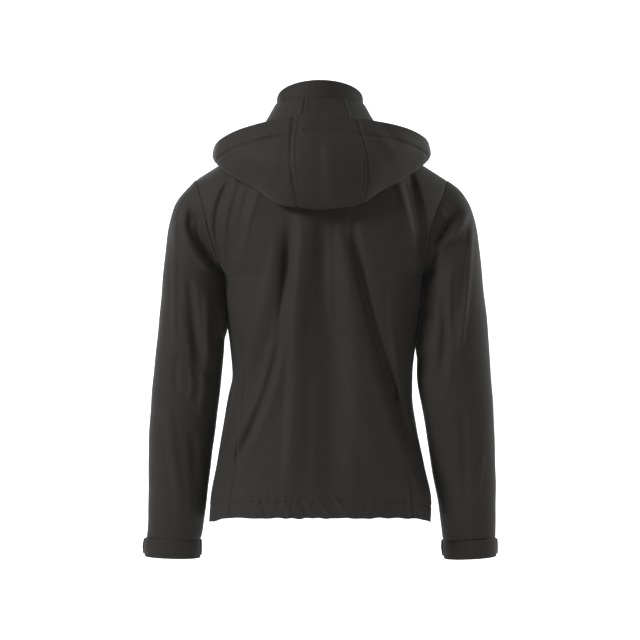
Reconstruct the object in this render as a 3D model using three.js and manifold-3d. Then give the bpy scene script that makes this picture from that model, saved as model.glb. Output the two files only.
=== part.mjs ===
import * as THREE from "three";
import Module from "manifold-3d";

// A softshell jacket in the form it has when worn, with nobody in it: plain long sleeves, a stand
// collar zipped shut, and a three-panel hood hanging down the back. Millimetres, +Z up, the front
// faces -Y, +X is the wearer's left. The origin is the centre of the neck base at shoulder height.

// Cloth and trim thicknesses.
const CLOTH = 1.8;
const COLLAR_CLOTH = 3.0;
const CUFF_CLOTH = 2.8;
const TAB_CLOTH = 1.6;
const TAPE = 1.0;

// Free space left along every seam, half on each side, and how far the inside edge steps back.
const SEAM_HALF = 0.16;
const SEAM_HALF_INSIDE = 0.45;
const SEAT = 0.3;

// Number of grid steps in each direction of the cut pieces.
const ROWS_BELOW = 12;
const ROWS_ABOVE = 9;
const BACK_NECK_STEPS = 5;
const BACK_SHOULDER_STEPS = 6;
const FRONT_NECK_STEPS = 5;
const FRONT_SHOULDER_STEPS = 6;
const SIDE_STEPS = 5;
const COLLAR_ROWS = 3;
const HOOD_ROWS = 12;
const HOOD_CENTER_STEPS = 7;
const HOOD_SIDE_STEPS = 13;

// Roundness of the body section: 2 is an ellipse, larger is squarer.
const BODY_ROUNDNESS = 2.3;
const SLEEVE_ROUNDNESS = 2.15;

// Half width of the body at the side line, to the wearer's left and right.
const GIRTH = [
  { z: -712, left: 202, right: 201 },
  { z: -668, left: 199.5, right: 202.5 },
  { z: -606, left: 188.5, right: 190 },
  { z: -531, left: 176, right: 175 },
  { z: -477, left: 166.5, right: 168 },
  { z: -440, left: 159.2, right: 168.2 },
  { z: -386, left: 164, right: 174.2 },
  { z: -340, left: 169.6, right: 180 },
  { z: -293, left: 172.8, right: 186 },
  { z: -262, left: 174, right: 188 },
];

// How far the body stands out behind and in front of the side line.
const PROFILE = [
  { z: -712, back: 112, front: 122 },
  { z: -668, back: 111, front: 121 },
  { z: -606, back: 107, front: 119 },
  { z: -531, back: 101, front: 116 },
  { z: -477, back: 97, front: 114 },
  { z: -440, back: 96, front: 114 },
  { z: -386, back: 99, front: 118 },
  { z: -340, back: 106, front: 122 },
  { z: -293, back: 112, front: 125 },
  { z: -262, back: 116, front: 126 },
  { z: -150, back: 118, front: 126 },
  { z: -87, back: 116, front: 126 },
];

// The armhole seam: its distance from the middle on each side, and its angle round the body.
const ARMHOLE = [
  { z: -262, left: 174, right: 188, angle: 90 },
  { z: -250, left: 176.5, right: 189.5, angle: 76 },
  { z: -234, left: 183, right: 192, angle: 67 },
  { z: -222, left: 187, right: 193.5, angle: 64 },
  { z: -205, left: 193.5, right: 196, angle: 60.5 },
  { z: -171, left: 203, right: 201.5, angle: 57.5 },
  { z: -142, left: 210, right: 210.5, angle: 56.5 },
  { z: -113, left: 217, right: 223, angle: 56 },
  { z: -87, left: 226, right: 231, angle: 56 },
];
const UNDERARM_Z = -262;

// The seam between the back and the side panel: its angle from the centre back.
const BACK_SEAM = [
  { z: -712, angle: 52 },
  { z: -600, angle: 51 },
  { z: -500, angle: 52 },
  { z: -450, angle: 55 },
  { z: -399, angle: 57 },
  { z: -340, angle: 59.5 },
  { z: -290, angle: 62 },
  { z: -250, angle: 63.5 },
  { z: -222, angle: 64 },
];
const BACK_SEAM_TOP = -222;
const SIDE_SEAM_ANGLE = 102;

// Height of the hem round the body, by the angle from the centre back.
const HEM = [
  { angle: 0, z: -689.5 },
  { angle: 45, z: -692 },
  { angle: 90, z: -706 },
  { angle: 130, z: -704 },
  { angle: 180, z: -700 },
];

// Shoulder line, and the depth over which back and front round over into it.
const RIDGE = { neckZ: 8, slope: 0.64, ease: 40, easeAt: 82.4, frontDrop: 45, liftRight: 2.4 };
const ROUND_OVER = {
  back: { neck: 160, tip: 125, power: 1.0 },
  front: { neck: 240, tip: 170, power: 1.24 },
};
const SHOULDER_TIP = 226;

// Neck seam seen from above, the upper edge of the collar, and the opening edge at the front.
const NECK = { half: 74, back: 66, front: 62 };
const COLLAR_RIM = {
  half: 78.3,
  back: 58,
  front: 56,
  z: 61.5,
  riseBack: 27.5,
  dropFront: 35,
  belly: 2.5,
};
const FRONT_EDGE = 6.5;

// Creases of the worn cloth seen from behind, each a bent line in x and z from its top to its
// bottom. A positive height stands out; `plus` and `minus` are its widths to +X and to -X.
const BODY_CREASES = [
  { top: [25, -150], bend: [40, -380], end: [190, -650], height: 6, plus: 22, minus: 45 },
  { top: [50, -160], bend: [85, -350], end: [140, -540], height: -6, plus: 24, minus: 24 },
  { top: [72, -190], bend: [110, -400], end: [178, -590], height: 5, plus: 20, minus: 20 },
  { top: [5, -140], bend: [18, -400], end: [22, -690], height: -5, plus: 34, minus: 34 },
  { top: [-44, -140], bend: [-62, -400], end: [-192, -648], height: 6, plus: 45, minus: 20 },
  { top: [-58, -170], bend: [-98, -350], end: [-155, -530], height: -6, plus: 24, minus: 24 },
  { top: [-95, -170], bend: [-130, -330], end: [-165, -500], height: 3.5, plus: 22, minus: 22 },
  { top: [150, -90], bend: [200, -140], end: [178, -215], height: -4, plus: 16, minus: 16 },
  { top: [120, -95], bend: [140, -150], end: [155, -240], height: -4, plus: 18, minus: 18 },
  { top: [-148, -80], bend: [-172, -140], end: [-186, -230], height: -5, plus: 18, minus: 18 },
];

// The same for the front of the body, seen through from behind.
const FRONT_CREASES = [
  { top: [60, -130], bend: [75, -380], end: [175, -640], height: 5, plus: 26, minus: 44 },
  { top: [92, -180], bend: [110, -360], end: [150, -520], height: -5, plus: 24, minus: 24 },
  { top: [-66, -140], bend: [-80, -400], end: [-180, -640], height: 5, plus: 44, minus: 26 },
  { top: [-100, -190], bend: [-118, -360], end: [-152, -530], height: -5, plus: 24, minus: 24 },
  { top: [150, -100], bend: [180, -150], end: [176, -220], height: -4, plus: 18, minus: 18 },
  { top: [-150, -95], bend: [-180, -150], end: [-186, -225], height: -4, plus: 18, minus: 18 },
];

const SLEEVE_CREASES = [
  { top: [262, -160], bend: [240, -250], end: [182, -255], height: 5, plus: 22, minus: 16 },
  { top: [245, -150], bend: [215, -190], end: [188, -236], height: -5, plus: 16, minus: 16 },
  { top: [238, -294], bend: [220, -400], end: [184, -465], height: -4, plus: 18, minus: 18 },
  { top: [-264, -149], bend: [-232, -196], end: [-197, -251], height: 5, plus: 16, minus: 16 },
  { top: [-241, -126], bend: [-222, -170], end: [-199, -215], height: -5, plus: 16, minus: 16 },
  { top: [-243, -300], bend: [-225, -400], end: [-190, -470], height: -4, plus: 18, minus: 18 },
];

// Sleeve sections from the shoulder to the wrist. Outer and inner are the points of the section
// farthest from and nearest to the body, `half` its half depth and `y` its centre.
const SLEEVE_LEFT = [
  { outer: [243.9, -105.6], inner: [177.5, -270], half: 60, y: 0 },
  { outer: [257.5, -122], inner: [176.5, -284], half: 63, y: 0 },
  { outer: [266.8, -140], inner: [175.5, -300], half: 65, y: 1 },
  { outer: [275.7, -173], inner: [174.5, -318], half: 67, y: 1 },
  { outer: [280.8, -210], inner: [173.5, -335], half: 68, y: 2 },
  { outer: [285, -255], inner: [173.5, -350], half: 68, y: 2 },
  { outer: [288.8, -303], inner: [173.5, -365], half: 67, y: 3 },
  { outer: [294.8, -360], inner: [175, -400], half: 65, y: 5 },
  { outer: [300, -420], inner: [178.5, -445], half: 63, y: 7 },
  { outer: [305.8, -480], inner: [185, -495], half: 60, y: 6 },
  { outer: [311.2, -550], inner: [193, -560], half: 56, y: 1 },
  { outer: [311.9, -620], inner: [201, -625], half: 52, y: -8 },
  { outer: [313.8, -680], inner: [209, -683], half: 46, y: -19 },
  { outer: [316, -725], inner: [215.5, -727], half: 42, y: -27 },
  { outer: [317.6, -738], inner: [218.6, -740], half: 41, y: -29 },
];
const SLEEVE_RIGHT = [
  { outer: [253.5, -104.2], inner: [191.5, -270], half: 60, y: 0 },
  { outer: [267.5, -122], inner: [190, -284], half: 63, y: 0 },
  { outer: [276, -140], inner: [188.5, -300], half: 65, y: 1 },
  { outer: [284.5, -173], inner: [186, -318], half: 67, y: 1 },
  { outer: [289.5, -212], inner: [183.5, -337], half: 68, y: 2 },
  { outer: [294.5, -257], inner: [180.5, -354], half: 68, y: 2 },
  { outer: [298.9, -303], inner: [178, -375], half: 67, y: 3 },
  { outer: [304.5, -360], inner: [175.8, -408], half: 65, y: 5 },
  { outer: [309, -420], inner: [176.5, -448], half: 63, y: 7 },
  { outer: [313, -480], inner: [184, -497], half: 60, y: 6 },
  { outer: [317.5, -550], inner: [193.5, -550], half: 56, y: 1 },
  { outer: [319.5, -620], inner: [205, -620], half: 52, y: -8 },
  { outer: [320.7, -680], inner: [216, -680], half: 46, y: -19 },
  { outer: [321.8, -725], inner: [223, -727], half: 42, y: -27 },
  { outer: [322.1, -738], inner: [224.6, -741], half: 41, y: -29 },
];
const CUFF_LEFT = [
  { outer: [320.5, -738.6], inner: [219, -740.6], half: 42.5, y: -29.2 },
  { outer: [323.5, -755], inner: [218.6, -757], half: 42.5, y: -31 },
  { outer: [322, -772], inner: [219.5, -775], half: 41, y: -33 },
];
const CUFF_RIGHT = [
  { outer: [323.5, -738.6], inner: [225, -741.6], half: 42.5, y: -29.2 },
  { outer: [324.5, -757], inner: [224.2, -758], half: 42.5, y: -31 },
  { outer: [324, -772], inner: [227.5, -777], half: 41, y: -33 },
];
// The tab lies on the front half of the cuff: first and last column round it, and its height
// as shares of the cuff.
const CUFF_TAB = { first: 0.49, last: 1.01, low: 0.12, high: 0.86 };

// Sections of the hood bag by the angle round the neck from the centre back, about a line at
// `HOOD_AXIS_Y`. Each pair is a distance from that line and a height: where the cloth leaves the
// collar, the back of the bag, its bottom fold, its belly, and the hemmed rim on top.
const HOOD_AXIS_Y = 10;
const HOOD = [
  { at: 0, seam: 56, wall: [100, -15], low: [113, -100], fold: [126, -148], belly: [162, -72], rim: [124, 25] },
  { at: 27, seam: 55, wall: [102, -18], low: [128, -95], fold: [140, -140], belly: [168, -68], rim: [136, 14] },
  { at: 45, seam: 54, wall: [104, -22], low: [137, -82], fold: [146, -115], belly: [176, -58], rim: [152, 4] },
  { at: 60, seam: 52, wall: [104, -14], low: [145, -62], fold: [166, -92], belly: [184, -50], rim: [174, -9] },
  { at: 75, seam: 51, wall: [104, 0], low: [152, -42], fold: [186, -66], belly: [194, -46], rim: [190, -25] },
  { at: 90, seam: 50, wall: [102, 12], low: [152, -30], fold: [187, -55], belly: [194, -47], rim: [193, -36] },
  { at: 108, seam: 36, wall: [92, 6], low: [124, -18], fold: [152, -46], belly: [160, -40], rim: [158, -32] },
  { at: 123, seam: 15, wall: [84, 5], low: [108, -20], fold: [132, -49], belly: [139, -44], rim: [137, -36] },
  { at: 136, seam: 0, wall: [77, -6], low: [92, -17], fold: [110, -36], belly: [117, -35], rim: [116, -29] },
  { at: 148, seam: -8, wall: [78, -16], low: [82, -24], fold: [90, -32], belly: [96, -32], rim: [97, -26] },
];
const HOOD_END = 148;
// What the bag's belly and rim gain on each side, at the peak angle and fading to both ends.
const HOOD_GAIN = {
  left: { out: 1.5, up: 2.5, peak: 66, spread: 46 },
  right: { out: 7.5, up: 8, peak: 72, spread: 48 },
};
// How far the hood's seam edge stands off the collar.
const HOOD_SEAT = 1.0;
// The two seams of the hood's middle strip, as angles at the collar, the fold and the rim.
const HOOD_SEAMS = [
  { v: 0, left: 27, right: -39 },
  { v: 0.5, left: 15, right: -32 },
  { v: 1, left: 20, right: -28 },
];

// Zip: tape width, its ends, and the small hard pieces.
const ZIP = {
  across: [0.3, FRONT_EDGE, 13, 20],
  hemLift: 12,
  bodySteps: 12,
  bodyDrop: 24,
  neckDrop: 3,
  collarShares: [0, 0.14, 0.5, 0.88],
  seatSlope: 0.06,
};
// How far the tape lies behind the outer face: on the body, just below the neck seam, at the
// collar's lower edge, and on the collar.
const TAPE_BACK = { body: 2.3, neck: 2.7, collarFoot: 4.7, collar: 3.5 };
const SLIDER = {
  z: 4,
  width: 10,
  height: 11,
  depth: 3.2,
  clear: 1.4,
  arch: 3,
  archWall: 1.0,
  archFree: 1.3,
};
const ZIP_BOX = { width: 7, height: 10.4, depth: 4 };
const PULL = { width: 7.4, length: 26, thick: 1.4, bar: 1.4, armFrom: 1.95, windowLow: 3.9 };

const rad = THREE.MathUtils.degToRad;
const { lerp, clamp, smoothstep } = THREE.MathUtils;
const vec = (x, y, z) => new THREE.Vector3(x, y, z);
const mid = (a, b, t) => a.clone().lerp(b, t);

// A column of a table at any place of its first column, without overshoot between the rows.
function valueAt(rows, key, at, column) {
  const last = rows.length - 1;
  if (at <= rows[0][key]) return rows[0][column];
  if (at >= rows[last][key]) return rows[last][column];
  let i = 0;
  while (at > rows[i + 1][key]) i += 1;
  const step = (k) => rows[k + 1][key] - rows[k][key];
  const rise = (k) => (rows[k + 1][column] - rows[k][column]) / step(k);
  const tangent = (k) => {
    if (k === 0) return rise(0);
    if (k === last) return rise(last - 1);
    const before = rise(k - 1);
    const after = rise(k);
    if (before * after <= 0) return 0;
    const wBefore = 2 * step(k) + step(k - 1);
    const wAfter = step(k) + 2 * step(k - 1);
    return (wBefore + wAfter) / (wBefore / before + wAfter / after);
  };
  const h = step(i);
  const t = (at - rows[i][key]) / h;
  const a = rows[i][column];
  const b = rows[i + 1][column];
  return (
    a * (1 + 2 * t) * (1 - t) ** 2 +
    tangent(i) * h * t * (1 - t) ** 2 +
    b * t * t * (3 - 2 * t) +
    tangent(i + 1) * h * t * t * (t - 1)
  );
}

// The place where a rising test first fails, between low and high.
function boundary(low, high, holds) {
  let a = low;
  let b = high;
  for (let i = 0; i < 48; i += 1) {
    const m = (a + b) / 2;
    if (holds(m)) a = m;
    else b = m;
  }
  return a;
}

// Points spaced evenly along a polyline.
function evenly(points, steps) {
  const lengths = [0];
  for (let i = 1; i < points.length; i += 1) {
    lengths.push(lengths[i - 1] + points[i].distanceTo(points[i - 1]));
  }
  const total = lengths[lengths.length - 1];
  const out = [];
  let k = 0;
  for (let i = 0; i <= steps; i += 1) {
    const want = (total * i) / steps;
    while (k < points.length - 2 && lengths[k + 1] < want) k += 1;
    const span = lengths[k + 1] - lengths[k] || 1;
    out.push(mid(points[k], points[k + 1], clamp((want - lengths[k]) / span, 0, 1)));
  }
  return out;
}

// Creases as polylines, and the height they add at a place.
const CREASE_STEPS = 20;
const creaseLines = (creases) =>
  creases.map((c) => {
    const line = [];
    for (let i = 0; i <= CREASE_STEPS; i += 1) {
      const t = i / CREASE_STEPS;
      const at = (k) => c.top[k] * (1 - t) ** 2 + 2 * c.bend[k] * t * (1 - t) + c.end[k] * t * t;
      line.push([at(0), at(1)]);
    }
    return { ...c, line };
  });

function creaseHeight(lines, x, z) {
  let sum = 0;
  for (const { line, height, plus, minus } of lines) {
    let best = Infinity;
    let along = 0;
    let side = 1;
    for (let i = 0; i < CREASE_STEPS; i += 1) {
      const dx = line[i + 1][0] - line[i][0];
      const dz = line[i + 1][1] - line[i][1];
      const t = clamp(((x - line[i][0]) * dx + (z - line[i][1]) * dz) / (dx * dx + dz * dz), 0, 1);
      const px = x - line[i][0] - dx * t;
      const pz = z - line[i][1] - dz * t;
      const d = Math.hypot(px, pz);
      if (d < best) {
        best = d;
        along = (i + t) / CREASE_STEPS;
        side = px * -dz + pz * dx > 0 ? 1 : -1;
      }
    }
    const width = side > 0 ? plus : minus;
    const fade = smoothstep(along, 0, 0.2) * smoothstep(1 - along, 0, 0.2);
    sum += height * fade * Math.max(0, 1 - (best / width) ** 2) ** 2;
  }
  return sum;
}

const backLines = creaseLines(BODY_CREASES);
const frontLines = creaseLines(FRONT_CREASES);
const sleeveLines = creaseLines(SLEEVE_CREASES);

// The body's outer surface, by a signed angle from the centre back and a height.
const rounded = (value, roundness) => Math.sign(value) * Math.abs(value) ** (2 / roundness);
const sideName = (signed) => (signed >= 0 ? "left" : "right");
const armholeAngle = (z) => valueAt(ARMHOLE, "z", z, "angle");

function halfWidth(z, side) {
  if (z <= UNDERARM_Z) return valueAt(GIRTH, "z", z, side);
  return valueAt(ARMHOLE, "z", z, side) / rounded(Math.sin(rad(armholeAngle(z))), BODY_ROUNDNESS);
}

function ridgeHeight(x, facing) {
  const lift = RIDGE.liftRight * smoothstep(-x, 90, 170);
  const line = RIDGE.neckZ - RIDGE.slope * (Math.hypot(x, RIDGE.ease) - RIDGE.easeAt) + lift;
  const inside = Math.max(0, 1 - (x / NECK.half) ** 2);
  return facing > 0 ? line : line - RIDGE.frontDrop * inside ** 2;
}

function bodyAt(angle, z) {
  const facing = Math.abs(angle) <= 90 ? 1 : -1;
  const turn = rad(angle);
  const wide = halfWidth(z, sideName(angle));
  const x = wide * rounded(Math.sin(turn), BODY_ROUNDNESS);
  const deep = valueAt(PROFILE, "z", z, facing > 0 ? "back" : "front");
  const over = facing > 0 ? ROUND_OVER.back : ROUND_OVER.front;
  const depthOver = lerp(over.neck, over.tip, clamp(Math.abs(x) / SHOULDER_TIP, 0, 1));
  const below = clamp((ridgeHeight(x, facing) - z) / depthOver, 0, 1);
  const share = Math.sqrt(1 - (1 - below) ** 2) ** over.power;
  const y = deep * rounded(Math.cos(turn), BODY_ROUNDNESS) * share;
  const weight = smoothstep(share, 0.3, 0.9) * smoothstep(Math.abs(Math.cos(turn)), 0.05, 0.5);
  const push = weight ? weight * creaseHeight(facing > 0 ? backLines : frontLines, x, z) : 0;
  const out = vec(Math.sin(turn) * 0.5, Math.cos(turn), 0).normalize();
  return { point: vec(x, y, z).addScaledVector(out, push), onBody: below > 0 };
}

function outsideNeck(p) {
  const deep = p.y > 0 ? NECK.back : NECK.front;
  return (p.x / NECK.half) ** 2 + (p.y / deep) ** 2 > 1;
}

// The upper end of a line up the body whose angle follows the height.
function columnTop(angleAt, from) {
  const holds = (z) => {
    const { point, onBody } = bodyAt(angleAt(z), z);
    return onBody && outsideNeck(point);
  };
  let z = from;
  while (holds(z + 2) && z < 60) z += 2;
  return boundary(z, z + 2, holds);
}

// A cut piece of the body: outer and inner faces as grids of points, row 0 at the hem.
function bodyNormal(angle, z, along, isTop) {
  const step = 0.4;
  const at = isTop ? z - 2.5 : z;
  const across = bodyAt(angle + step, at).point.sub(bodyAt(angle - step, at).point);
  const normal = across.cross(along).normalize();
  const out = vec(Math.sin(rad(angle)), Math.cos(rad(angle)), 0.5);
  return normal.dot(out) < 0 ? normal.negate() : normal;
}

function ridgeNormal(x) {
  return vec((RIDGE.slope * x) / Math.hypot(x, RIDGE.ease), 0, 1).normalize();
}

function bodyGrid(shares, lowAngle, lowTop, highAngle, hasTop) {
  const columns = shares.map((share) => {
    const top = lowTop(share);
    const hemAngle = lowAngle(share, -700);
    const hemZ = valueAt(HEM, "angle", Math.abs(hemAngle), "z");
    const cells = [];
    for (let r = 0; r <= ROWS_BELOW; r += 1) {
      const z = lerp(hemZ, top, r / ROWS_BELOW);
      const angle = lowAngle(share, z);
      cells.push({ angle, z, point: bodyAt(angle, z).point });
    }
    if (hasTop) {
      const angleAt = (z) => highAngle(share, z);
      const end = columnTop(angleAt, top + 40);
      const fine = [];
      const heights = [];
      for (let i = 0; i <= 80; i += 1) {
        const z = end - (end - top) * (1 - i / 80) ** 2;
        heights.push(z);
        fine.push(bodyAt(angleAt(z), z).point);
      }
      const spaced = evenly(fine, ROWS_ABOVE);
      for (let r = 1; r <= ROWS_ABOVE; r += 1) {
        const z = r === ROWS_ABOVE ? end : spaced[r].z;
        cells.push({ angle: angleAt(z), z, point: spaced[r] });
      }
    }
    return cells;
  });
  const last = columns[0].length - 1;
  const outer = [];
  const inner = [];
  for (let r = 0; r <= last; r += 1) {
    outer.push([]);
    inner.push([]);
    columns.forEach((cells) => {
      const { angle, z, point } = cells[r];
      const above = cells[Math.min(last, r + 1)].point;
      const under = cells[Math.max(0, r - 1)].point;
      const along = above.clone().sub(under);
      const atRidge = hasTop && r === last && Math.abs(point.x) >= NECK.half - 0.01;
      const normal = atRidge
        ? ridgeNormal(point.x)
        : bodyNormal(angle, z, along, hasTop && r >= last - 1);
      outer[r].push(point.clone());
      inner[r].push(point.clone().addScaledVector(normal, -CLOTH));
    });
  }
  return { outer, inner };
}

// Moves the border points of a piece back from its seams.
function trimmed(grid, edges) {
  const move = (points, amount) => {
    const rows = points.map((row) => row.map((p) => p.clone()));
    const last = rows.length - 1;
    const end = rows[0].length - 1;
    const pull = (p, q) => p.add(q.clone().sub(p).setLength(amount));
    for (let c = 0; c <= end; c += 1) {
      if (edges.bottom) pull(rows[0][c], points[1][c]);
      if (edges.top) pull(rows[last][c], points[last - 1][c]);
    }
    for (let r = 0; r <= last; r += 1) {
      if (edges.start) pull(rows[r][0], points[r][1]);
      if (edges.end) pull(rows[r][end], points[r][end - 1]);
    }
    return rows;
  };
  return { outer: move(grid.outer, SEAM_HALF), inner: move(grid.inner, SEAM_HALF_INSIDE) };
}

// A closed solid between an outer and an inner grid; `around` joins the last column to the first.
// Each square is split along its shorter diagonal, on both faces alike.
function wall(outer, inner, around = false) {
  const rows = outer.length;
  const cols = outer[0].length;
  const steps = around ? cols : cols - 1;
  const positions = [...outer.flat(), ...inner.flat()].flatMap((p) => [p.x, p.y, p.z]);
  const index = [];
  const at = (face, r, c) => face * rows * cols + r * cols + (c % cols);
  const quad = (a, b, c, d) => index.push(a, b, c, a, c, d);
  for (let r = 0; r < rows - 1; r += 1) {
    for (let c = 0; c < steps; c += 1) {
      const p = (i, j) => outer[r + i][(c + j) % cols];
      const falling = p(0, 0).distanceTo(p(1, 1)) <= p(0, 1).distanceTo(p(1, 0));
      const turn = falling ? 0 : 1;
      for (const face of [0, 1]) {
        const corners = [at(face, r, c), at(face, r, c + 1), at(face, r + 1, c + 1), at(face, r + 1, c)];
        const [a, b, d, e] = [0, 1, 2, 3].map((k) => corners[(k + turn) % 4]);
        if (face) quad(a, e, d, b);
        else quad(a, b, d, e);
      }
    }
  }
  for (let c = 0; c < steps; c += 1) {
    quad(at(0, 0, c + 1), at(0, 0, c), at(1, 0, c), at(1, 0, c + 1));
    quad(at(0, rows - 1, c), at(0, rows - 1, c + 1), at(1, rows - 1, c + 1), at(1, rows - 1, c));
  }
  for (let r = 0; r < rows - 1 && !around; r += 1) {
    quad(at(0, r, 0), at(0, r + 1, 0), at(1, r + 1, 0), at(1, r, 0));
    quad(at(0, r + 1, cols - 1), at(0, r, cols - 1), at(1, r, cols - 1), at(1, r + 1, cols - 1));
  }
  return facingOut(positions, index);
}

function facingOut(positions, index) {
  const corner = (i) => new THREE.Vector3().fromArray(positions, 3 * index[i]);
  let volume = 0;
  for (let i = 0; i < index.length; i += 3) {
    volume += corner(i).dot(corner(i + 1).cross(corner(i + 2)));
  }
  if (volume < 0) index.reverse();
  const geometry = new THREE.BufferGeometry();
  geometry.setAttribute("position", new THREE.Float32BufferAttribute(positions, 3));
  geometry.setIndex(index);
  geometry.computeVertexNormals();
  return geometry;
}

// Grid normals, for the pieces that have no formula of their own.
function gridNormals(grid, around) {
  const last = grid.length - 1;
  const cols = grid[0].length;
  return grid.map((row, r) =>
    row.map((_, c) => {
      const along = grid[Math.min(last, r + 1)][c].clone().sub(grid[Math.max(0, r - 1)][c]);
      const right = around ? (c + 1) % cols : Math.min(cols - 1, c + 1);
      const left = around ? (c + cols - 1) % cols : Math.max(0, c - 1);
      return row[right].clone().sub(row[left]).cross(along).normalize();
    }),
  );
}

function moved(grid, normals, distance) {
  return grid.map((row, r) => row.map((p, c) => p.clone().addScaledVector(normals[r][c], distance)));
}

const shareSteps = (from, to, steps) =>
  Array.from({ length: steps + 1 }, (_, i) => lerp(from, to, i / steps));

// Share of the armhole angle at which a line up the body reaches the neck point of the shoulder.
function neckShare(side) {
  const wide = halfWidth(0, side);
  const angle = THREE.MathUtils.radToDeg(Math.asin((NECK.half / wide) ** (BODY_ROUNDNESS / 2)));
  return angle / armholeAngle(0);
}

// Back panel, between the two back seams.
function backPanel() {
  const half = (side) => {
    const neck = neckShare(side);
    return [
      ...shareSteps(0, neck, BACK_NECK_STEPS),
      ...shareSteps(neck, 1, BACK_SHOULDER_STEPS).slice(1),
    ];
  };
  const right = half("right").slice(1).reverse().map((s) => -s);
  const shares = [...right, ...half("left")];
  return bodyGrid(
    shares,
    (share, z) => share * valueAt(BACK_SEAM, "z", z, "angle"),
    () => BACK_SEAM_TOP,
    (share, z) => share * armholeAngle(z),
    true,
  );
}

const armholeHeight = (angle) =>
  boundary(UNDERARM_Z, BACK_SEAM_TOP, (z) => armholeAngle(z) > angle);
const FRONT_TOP = armholeHeight(180 - SIDE_SEAM_ANGLE);

function sidePanel(sign) {
  const armholeAt = (share) => {
    const angle = lerp(armholeAngle(BACK_SEAM_TOP), SIDE_SEAM_ANGLE, share);
    return angle >= 90 ? armholeHeight(180 - angle) : armholeHeight(angle);
  };
  const shares = shareSteps(0, 1, SIDE_STEPS);
  const seamZ = (z, share) => {
    const hemZ = valueAt(HEM, "angle", 52, "z");
    const done = clamp((z - hemZ) / (armholeAt(share) - hemZ), 0, 1);
    return lerp(hemZ, BACK_SEAM_TOP, done);
  };
  return bodyGrid(
    shares,
    (share, z) => {
      const seam = valueAt(BACK_SEAM, "z", share > 0 ? seamZ(z, share) : z, "angle");
      return sign * lerp(seam, SIDE_SEAM_ANGLE, share);
    },
    armholeAt,
    null,
    false,
  );
}

// Front panel, from the opening edge to the side seam and the armhole.
function edgeAngle(z, side, x) {
  const wide = halfWidth(z, side);
  return THREE.MathUtils.radToDeg(Math.asin((x / wide) ** (BODY_ROUNDNESS / 2)));
}

function frontShares(side) {
  const edge = edgeAngle(0, side, FRONT_EDGE);
  const neck = (neckShare(side) * armholeAngle(0) - edge) / (armholeAngle(0) - edge);
  return [
    ...shareSteps(0, neck, FRONT_NECK_STEPS),
    ...shareSteps(neck, 1, FRONT_SHOULDER_STEPS).slice(1),
  ];
}

function frontPanel(sign) {
  const side = sideName(sign);
  const turned = (share, z, limit) => sign * (180 - lerp(edgeAngle(z, side, FRONT_EDGE), limit, share));
  return bodyGrid(
    frontShares(side),
    (share, z) => turned(share, z, 180 - SIDE_SEAM_ANGLE),
    () => FRONT_TOP,
    (share, z) => turned(share, z, armholeAngle(z)),
    true,
  );
}

// Armhole as a ring of points: from the shoulder tip down the back, under the arm, up the front.
function armholeRing(back, side, front, sign) {
  const end = (row) => row[sign > 0 ? row.length - 1 : 0];
  const ring = [];
  for (let r = back.outer.length - 1; r >= ROWS_BELOW; r -= 1) ring.push(end(back.outer[r]));
  side.outer[side.outer.length - 1].slice(1).forEach((p) => ring.push(p));
  for (let r = ROWS_BELOW + 1; r < front.outer.length - 1; r += 1) {
    ring.push(front.outer[r][front.outer[r].length - 1]);
  }
  return ring.map((p) => p.clone());
}

// Turn of each armhole point round the sleeve: 0 at the outside, 90 behind, 180 next to the body.
function sleeveTurns(ring) {
  const low = ring.reduce((best, p, i) => (p.z < ring[best].z ? i : best), 0);
  const lengths = [0];
  for (let i = 1; i <= ring.length; i += 1) {
    lengths.push(lengths[i - 1] + ring[i % ring.length].distanceTo(ring[i - 1]));
  }
  const total = lengths[ring.length];
  return ring.map((_, i) =>
    i <= low
      ? (180 * lengths[i]) / lengths[low]
      : 180 + (180 * (lengths[i] - lengths[low])) / (total - lengths[low]),
  );
}

function sectionPoint(row, sign, turn) {
  const [ox, oz] = row.outer;
  const [ix, iz] = row.inner;
  const across = rounded(Math.cos(rad(turn)), SLEEVE_ROUNDNESS);
  const deep = rounded(Math.sin(rad(turn)), SLEEVE_ROUNDNESS);
  return vec(
    (sign * (ox + ix + (ox - ix) * across)) / 2,
    row.y + row.half * deep,
    (oz + iz + (oz - iz) * across) / 2,
  );
}

function sleeve(ring, sign) {
  const turns = sleeveTurns(ring);
  const rows = sign > 0 ? SLEEVE_LEFT : SLEEVE_RIGHT;
  const axis = vec(sign * 0.958, 0, -0.285);
  const first = ring.map((p) => p.clone().addScaledVector(axis, SEAT));
  let outer = [first, ...rows.map((row) => turns.map((turn) => sectionPoint(row, sign, turn)))];
  let normals = outward(outer, gridNormals(outer, true));
  outer = outer.map((row, r) =>
    row.map((p, c) => {
      const n = normals[r][c];
      const fade = smoothstep(r, 0, 2) * smoothstep(rows.length - r, 0, 2);
      const push = creaseHeight(sleeveLines, p.x, p.z) * smoothstep(Math.abs(n.y), 0.1, 0.6);
      return p.clone().addScaledVector(n, push * fade * (n.y > 0 ? 1 : 0.7));
    }),
  );
  normals = outward(outer, gridNormals(outer, true));
  const inner = moved(outer, normals, -CLOTH);
  inner[0].forEach((p, c) => p.add(inner[1][c].clone().sub(p).setLength(0.5)));
  return { outer, inner };
}

// Turns the normals of a ring grid so that they all point away from the ring's middle.
function outward(grid, normals) {
  const row = Math.floor(grid.length / 2);
  const centre = grid[row].reduce((sum, p) => sum.add(p), vec(0, 0, 0)).divideScalar(grid[row].length);
  const score = grid[row].reduce((sum, p, c) => sum + p.clone().sub(centre).dot(normals[row][c]), 0);
  return score < 0 ? normals.map((r) => r.map((n) => n.negate())) : normals;
}

function cuff(turns, sign) {
  const rows = sign > 0 ? CUFF_LEFT : CUFF_RIGHT;
  const outer = rows.map((row) => turns.map((turn) => sectionPoint(row, sign, turn)));
  const inner = moved(outer, outward(outer, gridNormals(outer, true)), -CUFF_CLOTH);
  return { outer, inner };
}

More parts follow.
